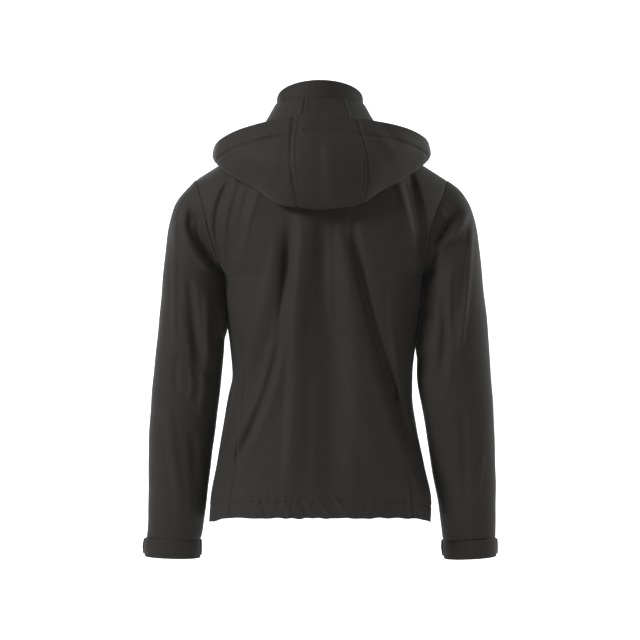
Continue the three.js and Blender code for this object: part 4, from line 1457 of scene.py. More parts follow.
HOOD_AXIS_Y = 10.0
HOOD_END = 148.0
HOOD = Table("at seam wallR wallZ lowR lowZ foldR foldZ bellyR bellyZ rimR rimZ", (
    (0, 56, 100, -15, 113, -100, 126, -148, 162, -72, 124, 25),
    (27, 55, 102, -18, 128, -95, 140, -140, 168, -68, 136, 14),
    (45, 54, 104, -22, 137, -82, 146, -115, 176, -58, 152, 4),
    (60, 52, 104, -14, 145, -62, 166, -92, 184, -50, 174, -9),
    (75, 51, 104, 0, 152, -42, 186, -66, 194, -46, 190, -25),
    (90, 50, 102, 12, 152, -30, 187, -55, 194, -47, 193, -36),
    (108, 36, 92, 6, 124, -18, 152, -46, 160, -40, 158, -32),
    (123, 15, 84, 5, 108, -20, 132, -49, 139, -44, 137, -36),
    (136, 0, 77, -6, 92, -17, 110, -36, 117, -35, 116, -29),
    (148, -8, 78, -16, 82, -24, 90, -32, 96, -32, 97, -26),
))
HOOD_SEAMS = Table("v left right", ((0, 27, -39), (0.5, 15, -32), (1, 20, -28)))


@dataclass(frozen=True)
class Hood:
    """The hood hanging down as a bag: a middle strip and two sides.

    Args:
        collar: the collar that it is sewn to.
        seat: how far its seam edge stands off the collar.
        row_step: distance between rows, and between columns.
    """

    collar: Collar
    seat: float = 1.0
    row_step: float = 3.0

    KEYS = ("wall", "low", "fold", "belly", "rim")
    # Usual lengths, and distance of the rim's stitching from its edge
    LENGTH, STRIP_WIDTH, SIDE_WIDTH = 420.0, 110.0, 300.0
    RIM_STITCH = 33.0
    # Extra rows near the rim, and how near an even row may come to an extra one
    NEAR_RIM, ROW_GAP = (0.8, 1.6, 2.8), 1.1
    # Each side, left and right, is fuller round one angle: that angle, its reach, and how much the
    # bag stands out and up there
    PEAK, REACH, OUT, UP = (66, 72), (46, 48), (1.5, 7.5), (2.5, 8.0)

    def _knots(self, angle: Array) -> Array:
        """The six points that each line down and up the bag goes through.

        Args:
            angle: angles of the lines.

        Returns:
            Six rows of points.
        """
        at = np.abs(angle)
        left = angle >= 0
        gain = 1 - ((at - np.where(left, *self.PEAK)) / np.where(left, *self.REACH)) ** 2
        gain = np.maximum(0, gain) ** 2
        out, up = np.where(left, *self.OUT) * gain, np.where(left, *self.UP) * gain
        turn = np.radians(angle)
        bearing = np.stack([np.sin(turn), np.cos(turn), np.zeros_like(turn)], -1)
        knots = [self.collar.at(angle, HOOD.at(at, "seam")) + bearing * self.seat]
        for key in self.KEYS:
            lift = {"rim": up, "belly": up * 0.5}.get(key, 0)
            r = HOOD.at(at, key + "R") + (out if key in ("rim", "belly") else 0)
            z = HOOD.at(at, key + "Z") + lift
            knots.append(np.stack([r * np.sin(turn), HOOD_AXIS_Y + r * np.cos(turn), z], -1))
        return np.stack(knots)

    def surface(self, angle: Array, v: Array) -> Array:
        """Points of the bag's outside.

        Args:
            angle: angles round the neck from the centre back.
            v: 0 at the collar to 1 at the rim, the same shape.

        Returns:
            The points, along centripetal curves.
        """
        knots = self._knots(angle)
        knots = np.concatenate([2 * knots[:1] - knots[1:2], knots, 2 * knots[-1:] - knots[-2:-1]])
        place = np.clip(v, 0, 1) * len(self.KEYS)
        i = np.minimum(place.astype(int), len(self.KEYS) - 1)
        t = (place - i)[..., None]
        columns = np.arange(len(angle))
        p0, p1, p2, p3 = (knots[i + k, columns] for k in range(4))
        d0, d1, d2 = (
            np.linalg.norm(b - a, axis=-1, keepdims=True) ** 0.5
            for a, b in ((p0, p1), (p1, p2), (p2, p3))
        )
        t1 = ((p1 - p0) / d0 - (p2 - p0) / (d0 + d1) + (p2 - p1) / d1) * d1
        t2 = ((p2 - p1) / d1 - (p3 - p1) / (d1 + d2) + (p3 - p2) / d2) * d1
        return (
            p1 + t1 * t + (-3 * p1 + 3 * p2 - 2 * t1 - t2) * t ** 2
            + (2 * p1 - 2 * p2 + t1 + t2) * t ** 3
        )

    def grid(
        self, start: Callable[[Array], Array], end: Callable[[Array], Array], width: float
    ) -> Grid:
        """Grid of one piece of the hood.

        Args:
            start: angle of its first column at a place from the collar to the rim.
            end: angle of its last column.
            width: its usual width, for the number of columns.

        Returns:
            The grid, row 0 at the collar.
        """
        shares = spread(width, self.row_step, NEAR_SEAM)
        beside = (self.RIM_STITCH + d for d in BESIDE_STITCH)
        rim = [1 - d / self.LENGTH for d in (*self.NEAR_RIM, *beside)]
        even = np.linspace(0, 1, round(self.LENGTH / self.row_step) + 1)
        rows = []
        for v in with_extra(even, rim, self.LENGTH, self.ROW_GAP):
            level = np.array(v)
            angle = start(level) + (end(level) - start(level)) * shares
            rows.append(self.surface(angle, np.full(len(angle), v)))
        return Grid(np.stack(rows), facing=-1)

    def pieces(self) -> dict[str, Grid]:
        """The three pieces by their names.

        Returns:
            A grid for each name.
        """

        def left(v: Array) -> Array:
            """Angle of the left seam from the collar to the rim."""
            return HOOD_SEAMS.at(v, "left")

        def right(v: Array) -> Array:
            """Angle of the right seam from the collar to the rim."""
            return HOOD_SEAMS.at(v, "right")

        return {
            "hood_center": self.grid(right, left, self.STRIP_WIDTH),
            "hood_left": self.grid(left, lambda v: np.array(HOOD_END), self.SIDE_WIDTH),
            "hood_right": self.grid(lambda v: np.array(-HOOD_END), right, self.SIDE_WIDTH),
        }


# Finishes

NOISE_DETAIL = 2.0
SHEEN_TINT = (1.0, 0.98, 0.95, 1)
FINE_SHARE = 0.5
BUMP_STRENGTH = 0.35

@dataclass(frozen=True)
class Effect:
    """A group of shader nodes with one output.

    Args:
        name: name of the group.
        output: name of the output.
    """

    name: str
    output: str

    def start(self, inputs: dict[str, tuple[str, float]]) -> bpy.types.ShaderNodeTree:
        """Makes the empty group.

        Args:
            inputs: its inputs, each with a socket type and a usual value.

        Returns:
            The group.
        """
        tree = bpy.data.node_groups.new(self.name, "ShaderNodeTree")
        for name, (kind, value) in inputs.items():
            socket = tree.interface.new_socket(name=name, in_out="INPUT", socket_type=kind)
            if kind == "NodeSocketFloat":
                socket.default_value = value
        tree.interface.new_socket(name=self.output, in_out="OUTPUT", socket_type="NodeSocketFloat")
        tree.nodes.new("NodeGroupInput")
        tree.nodes.new("NodeGroupOutput")
        return tree


def ends(tree: bpy.types.ShaderNodeTree) -> tuple[bpy.types.Node, bpy.types.Node]:
    """The input and output nodes of a group."""
    found = {n.bl_idname: n for n in tree.nodes}
    return found["NodeGroupInput"], found["NodeGroupOutput"]


def maths(tree: bpy.types.NodeTree, kind: str, *values: object) -> bpy.types.NodeSocket:
    """Adds a maths node.

    Args:
        tree: where it goes.
        kind: its operation.
        values: sockets or numbers, in order.

    Returns:
        Its output.
    """
    node = tree.nodes.new("ShaderNodeMath")
    node.operation = kind
    for socket, value in zip(node.inputs, values):
        if isinstance(value, bpy.types.NodeSocket):
            tree.links.new(value, socket)
        else:
            socket.default_value = value
    return node.outputs[0]


def noise(
    tree: bpy.types.NodeTree, where: bpy.types.NodeSocket, scale: float
) -> bpy.types.NodeSocket:
    """Adds a noise texture.

    Args:
        tree: where it goes.
        where: the place that it is read at.
        scale: its scale.

    Returns:
        Its value.
    """
    node = tree.nodes.new("ShaderNodeTexNoise")
    node.inputs["Scale"].default_value = scale
    node.inputs["Detail"].default_value = NOISE_DETAIL
    tree.links.new(where, node.inputs["Vector"])
    return node.outputs["Fac"]


@dataclass(frozen=True)
class Weave(Effect):
    """Height of a fine diagonal weave, from the cloth's own coordinates in millimetres."""

    name: str = "fine_weave"
    output: str = "Height"

    GRAIN_SCALE, GRAIN_HEIGHT = 1.4, 1.1

    def build(self) -> bpy.types.ShaderNodeTree:
        """Makes the group.

        Returns:
            The group.
        """
        tree = self.start({"Cloth": ("NodeSocketVector", 0), "Pitch": ("NodeSocketFloat", 0.9)})
        given, out = ends(tree)
        split = tree.nodes.new("ShaderNodeSeparateXYZ")
        tree.links.new(given.outputs["Cloth"], split.inputs[0])
        turn = maths(tree, "DIVIDE", 2 * math.pi, given.outputs["Pitch"])
        waves = []
        for sign in (1.0, -1.0):
            across = maths(tree, "MULTIPLY", split.outputs["Y"], sign)
            place = maths(tree, "ADD", split.outputs["X"], across)
            waves.append(maths(tree, "SINE", maths(tree, "MULTIPLY", place, turn)))
        both = maths(tree, "MULTIPLY", waves[0], waves[1])
        grain = noise(tree, given.outputs["Cloth"], self.GRAIN_SCALE)
        grain = maths(tree, "MULTIPLY", grain, self.GRAIN_HEIGHT)
        tree.links.new(maths(tree, "ADD", both, grain), out.inputs["Height"])
        return tree


@dataclass(frozen=True)
class Mottle(Effect):
    """Slow variation of tone over the cloth, from 0 to 1."""

    name: str = "cloth_mottle"
    output: str = "Tone"

    SLOW_SCALE, QUICK_SCALE = 9.0, 420.0

    def build(self) -> bpy.types.ShaderNodeTree:
        """Makes the group.

        Returns:
            The group.
        """
        tree = self.start({"Where": ("NodeSocketVector", 0), "Fine": ("NodeSocketFloat", 0.4)})
        given, out = ends(tree)
        slow = noise(tree, given.outputs["Where"], self.SLOW_SCALE)
        quick = noise(tree, given.outputs["Where"], self.QUICK_SCALE)
        share = maths(tree, "MULTIPLY", maths(tree, "SUBTRACT", quick, 0.5), given.outputs["Fine"])
        tree.links.new(maths(tree, "ADD", slow, share), out.inputs["Tone"])
        return tree


Colour = tuple[float, float, float]


@dataclass(frozen=True)
class Finish:
    """A material of the jacket.

    Args:
        name: its name.
        dark: its darker tone, in linear light.
        light: its lighter tone.
        roughness: how matt it is.
        sheen: soft light at its edges.
        sheen_roughness: how far that spreads.
        metallic: 1 for bare metal.
        specular: strength of its plain reflection.
        bump: height of its weave in metres, 0 for none.
        pitch: pitch of the weave in millimetres.
    """

    name: str
    dark: Colour
    light: Colour
    roughness: float
    sheen: float = 0.0
    sheen_roughness: float = 0.5
    metallic: float = 0.0
    specular: float = 0.3
    bump: float = 0.0
    pitch: float = 0.9

    def build(self, groups: dict[str, bpy.types.ShaderNodeTree]) -> bpy.types.Material:
        """Makes the material.

        Args:
            groups: the shared shader groups by name.

        Returns:
            The material.
        """
        material = bpy.data.materials.new(self.name)
        material.use_nodes = True
        tree = material.node_tree
        shader = tree.nodes["Principled BSDF"]
        for name, value in (
            ("Metallic", self.metallic), ("Roughness", self.roughness),
            ("Specular IOR Level", self.specular), ("Sheen Weight", self.sheen),
            ("Sheen Roughness", self.sheen_roughness), ("Sheen Tint", SHEEN_TINT),
        ):
            shader.inputs[name].default_value = value
        place = tree.nodes.new("ShaderNodeTexCoord").outputs["Object"]
        tone = tree.nodes.new("ShaderNodeGroup")
        tone.node_tree = groups["mottle"]
        tone.inputs["Fine"].default_value = FINE_SHARE
        tree.links.new(place, tone.inputs["Where"])
        mix = tree.nodes.new("ShaderNodeMix")
        mix.data_type = "RGBA"
        mix.inputs["A"].default_value = (*self.dark, 1)
        mix.inputs["B"].default_value = (*self.light, 1)
        tree.links.new(tone.outputs["Tone"], mix.inputs["Factor"])
        tree.links.new(mix.outputs["Result"], shader.inputs["Base Color"])
        if self.bump:
            self._add_weave(tree, shader, groups["weave"])
        return material

    def _add_weave(
        self, tree: bpy.types.NodeTree, shader: bpy.types.Node, group: bpy.types.ShaderNodeTree
    ) -> None:
        """Links the height of the weave on the cloth to the shader's normal.

        Args:
            tree: the material's nodes.
            shader: its shader.
            group: the group for the weave.
        """
        weave = tree.nodes.new("ShaderNodeGroup")
        weave.node_tree = group
        weave.inputs["Pitch"].default_value = self.pitch
        cloth = tree.nodes.new("ShaderNodeAttribute")
        cloth.attribute_name = "cloth"
        tree.links.new(cloth.outputs["Vector"], weave.inputs["Cloth"])
        bump = tree.nodes.new("ShaderNodeBump")
        bump.inputs["Strength"].default_value = BUMP_STRENGTH
        bump.inputs["Distance"].default_value = self.bump
        tree.links.new(weave.outputs["Height"], bump.inputs["Height"])
        tree.links.new(bump.outputs["Normal"], shader.inputs["Normal"])


SOFTSHELL = Finish(
    "softshell", (0.0142, 0.0131, 0.0121), (0.0192, 0.0177, 0.0163), 0.72,
    sheen=0.08, sheen_roughness=0.4, specular=0.2, bump=0.00012,
)
TAPE = Finish(
    "zip_tape", (0.016, 0.016, 0.016), (0.026, 0.026, 0.025), 0.8,
    sheen=0.15, bump=0.0001, pitch=0.7,
)
THREAD = Finish("thread", (0.013, 0.0125, 0.012), (0.018, 0.0175, 0.017), 0.6, sheen=0.1)
METAL = Finish(
    "zip_metal", (0.05, 0.05, 0.05), (0.07, 0.07, 0.07), 0.38, metallic=0.8, specular=0.5
)


class Wardrobe:
    """Makes each finish once and hands it out."""

    def __init__(self) -> None:
        """Builds the shared groups."""
        self.groups = {"weave": Weave().build(), "mottle": Mottle().build()}
        self.made: dict[str, bpy.types.Material] = {}

    def dress(self, obj: bpy.types.Object, finish: Finish, slot: str) -> None:
        """Puts a finish on an object.

        Args:
            obj: the object.
            finish: what it gets.
            slot: not used.
        """
        if finish.name not in self.made:
            self.made[finish.name] = finish.build(self.groups)
        obj.data.materials.clear()
        obj.data.materials.append(self.made[finish.name])


# Sewing


@dataclass(frozen=True)
class Stitching:
    """Sewing thread as short stitches along a line.

    Args:
        pitch: distance from one stitch to the next.
        length: length of a stitch.
        radius: thickness of the thread.
    """

    pitch: float = 3.4
    length: float = 2.5
    radius: float = 0.34

    SIDES = 5
    # Place along a stitch, share of the thread's radius, and height above the cloth
    RINGS = (
        (0.0, 0.25, -0.25), (0.18, 1.0, 0.12), (0.5, 1.0, 0.3), (0.82, 1.0, 0.12), (1.0, 0.25, -0.25),
    )

    def along(
        self, lines: Iterable[tuple[Array, Array]], closed: bool
    ) -> tuple[Array, list[list[int]]]:
        """Stitches along some lines.

        Args:
            lines: points and normals of each line.
            closed: whether each line joins up.

        Returns:
            Points and faces of the thread.
        """
        all_points: list[Array] = []
        faces: list[list[int]] = []
        base = 0
        for points, normals in lines:
            if closed:
                points = np.concatenate([points, points[:1]])
                normals = np.concatenate([normals, normals[:1]])
            walked = lengths_along(points, 0)
            starts = np.arange(0.6, walked[-1] - self.length - 0.4, self.pitch)
            rings = []
            for share, size, lift in self.RINGS:
                at = starts + share * self.length
                centre = read_line(at, walked, points)
                normal = unit(read_line(at, walked, normals))
                before, after = read_line(at - 0.3, walked, points), read_line(at + 0.3, walked, points)
                side = unit(np.cross(normal, unit(after - before + 1e-9)))
                turn = 2 * np.pi * np.arange(self.SIDES) / self.SIDES
                ring = (
                    centre[:, None] + normal[:, None] * lift
                    + side[:, None] * (np.cos(turn) * self.radius * size)[None, :, None]
                    + normal[:, None] * (np.sin(turn) * self.radius * size)[None, :, None]
                )
                rings.append(ring)
            block = np.stack(rings, 1)
            all_points.append(block.reshape(-1, 3))
            for k in range(len(starts)):
                first = base + k * len(self.RINGS) * self.SIDES
                faces.extend(self._stitch(first))
            base += block.shape[0] * len(self.RINGS) * self.SIDES
        return np.concatenate(all_points), faces

    def _stitch(self, first: int) -> list[list[int]]:
        """Faces of one stitch.

        Args:
            first: number of its first point.

        Returns:
            Lists of point numbers.
        """
        n, rings = self.SIDES, len(self.RINGS)
        faces = []
        for r in range(rings - 1):
            for i in range(n):
                a, b = first + r * n + i, first + r * n + (i + 1) % n
                faces.append([a, b, b + n, a + n])
        faces.append([first + i for i in range(n)][::-1])
        faces.append([first + (rings - 1) * n + i for i in range(n)])
        return faces


# The jacket


def seam(edge: Edge, groove: float = 0.9, pucker: float = 0.25) -> Sewn:
    """Relief of a seam at a border."""
    return Sewn(edge, groove=groove, pucker=pucker)


def stitch(edge: Edge, away: float, pucker: float = 0.3, wave: float = 11.0) -> Sewn:
    """Relief of a stitched line beside a border."""
    return Sewn(edge, away, groove=0.42, width=1.5, pucker=pucker, wave=wave)


@dataclass(frozen=True)
class Piece:
    """What one cloth piece is made from.

    Args:
        name: name of the piece, after its CAD node.
        grid: its smooth form.
        sewn: seams and stitched lines that shape it.
        threads: which of them carry visible thread.
        rests_on: what it is sewn to or lies on; not used.
        thickness: thickness of the cloth.
        folded: borders with a rounded fold.
        trimmed: borders with a seam.
        wear: size of its slow unevenness.
        folds: its smaller folds, behind and in front.
        calm: borders at which the folds die out.
        middle: place on Y that parts its back from its front.
        fit: a last change that lays it against its neighbour.
        hem_wave: how far its hem's edge goes up and down.
        finish: its material.
        slot: handed on to the wardrobe, which does not use it.
    """

    name: str
    grid: Grid
    sewn: tuple[Sewn, ...]
    threads: tuple[Sewn, ...] = ()
    rests_on: tuple[str, ...] = ()
    thickness: float = CLOTH
    folded: tuple[Edge, ...] = ()
    trimmed: tuple[Edge, ...] = ()
    wear: float = 0.5
    folds: tuple[CreaseField, ...] = ()
    calm: tuple[Edge, ...] = ()
    middle: float = 0.0
    fit: Callable[[Grid], Grid] | None = None
    hem_wave: float = 0.0
    finish: Finish = SOFTSHELL
    slot: str = "softshell"


@dataclass
class Tailor:
    """Args:
        wardrobe: where finishes come from.
        stitching: how thread is laid.
        count: number of pieces made so far.
    """

    wardrobe: Wardrobe
    stitching: Stitching = field(default_factory=Stitching)
    count: int = 0

    # Steps of the seed from piece to piece, into its stitching, and from line to line
    SEED_STEP, SEWN_SEED, LINE_STEP = 1.9, 7, 3
    # Distance from a seam over which unevenness and folds come in
    CALM = 14.0
    # Distance from the middle over which the folds of the back and of the front come in
    FOLDS_FROM, FOLDS_FULL = 4.0, 50.0
    # Depth below the armhole's corner at which folds start to die out at the back seams
    SEAM_FADE = 30.0
    # The cut is this much larger than the worn cloth measures
    CUT_EASE = 1.01

    def sew(self, piece: Piece) -> Grid:
        """Makes one piece with its thread.

        Args:
            piece: what to make.

        Returns:
            The finished grid, for pieces that lie on it.
        """
        self.count += 1
        seed = self.SEED_STEP * self.count
        grid = piece.grid.trimmed(*piece.trimmed)
        height = drift(grid.points, seed, piece.wear)
        for edge in (*piece.trimmed, *piece.folded):
            height = height * ease(grid.distance(edge), 0, self.CALM)
        for k, sewn in enumerate(piece.sewn):
            height = height + sewn.relief(grid, seed * self.SEWN_SEED + self.LINE_STEP * k)
        grid = grid.pushed(height)
        if piece.folds:
            grid = self._folded(piece, grid)
        if piece.fit:
            grid = piece.fit(grid)
        if piece.hem_wave:
            grid = hem_waves(grid, piece.hem_wave)
        low, high = Edge.LOW in piece.folded, Edge.HIGH in piece.folded
        obj = Shell(f"{piece.name}_cloth", grid, piece.thickness, low, high).build()
        self.wardrobe.dress(obj, piece.finish, piece.slot)
        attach(obj, "jacket")
        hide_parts(piece.name)
        thread = self._thread(piece, grid)
        self._declare(piece, grid, obj)
        return grid

    def _folded(self, piece: Piece, grid: Grid) -> Grid:
        """Adds a piece's smaller folds, by place alone, so that they run on across its seams.

        Args:
            piece: the piece.
            grid: its grid so far.

        Returns:
            The folded grid.
        """
        x, y, z = (grid.points[..., k] for k in range(3))
        behind, front = piece.folds
        limits = (self.FOLDS_FROM, self.FOLDS_FULL)
        push = behind.height(x, z) * ease(y - piece.middle, *limits)
        push = push - front.height(x, z) * ease(piece.middle - y, *limits)
        for edge in piece.calm:
            share = 1 - ease(grid.distance(edge), 0, self.CALM)
            if edge in (Edge.START, Edge.END):
                share = share * ease(z, BACK_SEAM_TOP - self.SEAM_FADE, BACK_SEAM_TOP)
            push = push * (1 - share)
        points = grid.points.copy()
        points[..., 1] += push
        return grid.moved(points)

    def _thread(self, piece: Piece, grid: Grid) -> bpy.types.Object | None:
        """Lays the visible thread of a piece.

        Args:
            piece: the piece.
            grid: its finished grid.

        Returns:
            The thread, if it has any.
        """
        if not piece.threads:
            return None
        lines = [grid.line(t.edge, t.away) for t in piece.threads]
        points, faces = self.stitching.along(lines, grid.around)
        obj = new_mesh(f"{piece.name}_thread", points, faces)
        self.wardrobe.dress(obj, THREAD, "softshell")
        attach(obj, "jacket")
        return obj

    @staticmethod
    def _width(grid: Grid) -> float:
        """The widest that the cut is, measured square to the way its columns run.

        Args:
            grid: the finished grid.

        Returns:
            The width, in millimetres.
        """
        points = grid.points
        if grid.around:
            points = np.concatenate([points, points[:, :1]], 1)
        run = unit(np.gradient(points, axis=0).mean(1))[:, None]
        steps = np.diff(points, axis=1)
        square = steps - (steps * run).sum(-1, keepdims=True) * run
        return float(np.linalg.norm(square, axis=-1).sum(1).max())

    def _declare(
        self, piece: Piece, grid: Grid, obj: bpy.types.Object
    ) -> None:
        """States the size that the piece is cut to.

        Args:
            piece: the piece.
            grid: its finished grid.
            obj: its object.
        """
        across, along = lengths_along(grid.points, 1), lengths_along(grid.points, 0)
        wide = across[:, -1]
        if grid.around:
            wide = wide + np.linalg.norm(grid.points[:, 0] - grid.points[:, -1], axis=-1)
        width, length = self._width(grid) * self.CUT_EASE, float(along[-1].max()) * self.CUT_EASE
        steps = np.diff(along.mean(1))
        area = float((steps * (wide[1:] + wide[:-1]) / 2).sum())
        area = min(area, width * length)
        list(piece.rests_on)
        LOG.info(
            "%s: cut %.0f x %.0f mm, %.3f m2, %d faces", piece.name, width, length, area / 1e6,
            len(obj.data.polygons),
        )


@dataclass(frozen=True)
class ZipTeeth:
    """Two rows of moulded teeth that meet on the centre front.

    Args:
        pitch: distance between teeth of one row.
        size: half width, half depth and half height of a tooth.
    """

    pitch: float = 2.5
    size: tuple[float, float, float] = (1.25, 0.75, 0.5)

    FACES = ((0, 1, 2, 3), (7, 6, 5, 4), (0, 4, 5, 1), (1, 5, 6, 2), (2, 6, 7, 3), (3, 7, 4, 0))
    # How far a tooth stands out of the tape, and how far to its own side
    STAND_OUT, ASIDE = 0.55, 0.9

    def build(self, line: Array, normals: Array) -> tuple[Array, list[list[int]]]:
        """Teeth along the tapes' meeting line.

        Args:
            line: points on the front face of the tapes, from the hem up.
            normals: their normals.

        Returns:
            Points and faces.
        """
        walked = lengths_along(line, 0)
        points: list[Array] = []
        faces: list[list[int]] = []
        half, deep, tall = self.size
        outline = (
            (-half, -deep * 0.4), (half, -deep * 0.4), (half * 0.8, deep), (-half * 0.8, deep),
        )
        corners = np.array([(x, y, z) for z in (-tall, tall) for x, y in outline])
        aside = np.array([1.0, 0, 0])
        for side, start in ((1.0, 1.0), (-1.0, 1.0 + self.pitch / 2)):
            for at in np.arange(start, walked[-1] - 1, self.pitch):
                out = unit(read_line(at, walked, normals))
                up = unit(np.cross(out, aside))
                if up[2] < 0:
                    up = -up
                centre = read_line(at, walked, line) + out * self.STAND_OUT + side * self.ASIDE * aside
                local = corners[:, :1] * aside + corners[:, 1:2] * out + corners[:, 2:] * up
                base = len(points) * len(corners)
                points.append(centre + local)
                faces += [[base + i for i in ids] for ids in self.FACES]
        return np.concatenate(points), faces


@dataclass(frozen=True)
class ZipTape:
    """One tape of the front zip, behind the opening edges.

    Args:
        side: the wearer's left or right.
        collar: the collar that its upper end lies behind.
        hem_lift: height of its lower end above the hem.
        thickness: thickness of the tape.
    """

    side: Side
    collar: Collar
    hem_lift: float = 12.0
    thickness: float = 1.0

    ACROSS = (0.3, 3.0, FRONT_EDGE, 9.5, 13.0, 16.5, 20.0)
    # How far the tape lies behind the fronts, at their top, behind the collar's foot and higher up
    BEHIND, BEHIND_TOP, BEHIND_FOOT, BEHIND_COLLAR = 2.3, 2.7, 4.7, 3.5
    # Rows on the body, and where they end below the neck seam, with one last row above them
    ROWS, ROWS_END, LAST_ROW = 12, 24.0, 3.0
    # Rise of the collar's foot towards the side
    FOOT_SLOPE = 0.06

    def grid(self) -> Grid:
        """Its front face, row 0 at the hem.

        Returns:
            The grid.
        """
        sign = float(self.side.value)
        across = np.array(self.ACROSS)
        seat = self.collar.base[0]
        low, high = float(HEM.at(180.0, "z")) + self.hem_lift, seat[2] - self.ROWS_END
        heights = [low + (high - low) * r / self.ROWS for r in range(self.ROWS + 1)]
        last = seat[2] - self.LAST_ROW
        rows = []
        for height in (*heights, last):
            z = np.full(len(across), height)
            angle = sign * (180 - edge_angle(z, sign, across))
            point = body_at(angle, z)[0]
            along = body_at(angle, z + 3)[0] - body_at(angle, z - 3)[0]
            turn = body_at(angle + 0.4, z)[0] - body_at(angle - 0.4, z)[0]
            normal = unit(np.cross(turn, along))
            normal = np.where(normal[:, 1:2] > 0, -normal, normal)
            rows.append(point - normal * (self.BEHIND_TOP if height == last else self.BEHIND))
        foot = np.stack([
            sign * across,
            seat[1] * np.sqrt(1 - (across / NECK_HALF) ** 2),
            seat[2] + self.collar.LIFT + across * self.FOOT_SLOPE,
        ], -1)
        for share in (0.0, 0.14, 0.5, 0.88):
            point = self.collar.point(foot, np.array(share))
            point[:, 0] = sign * across
            x, y = point[:, 0] / NECK_HALF ** 2, point[:, 1] / NECK_FRONT ** 2
            normal = unit(np.stack([x, y, 0 * across], -1))
            rows.append(point - normal * (self.BEHIND_COLLAR if share else self.BEHIND_FOOT))
        points, _ = smooth_rows(np.stack(rows), 5.0)
        return Grid(points, facing=int(sign))


BODY_FOLDS = (BACK_FOLDS, FRONT_FOLDS)
NO_FOLDS = CreaseField(())


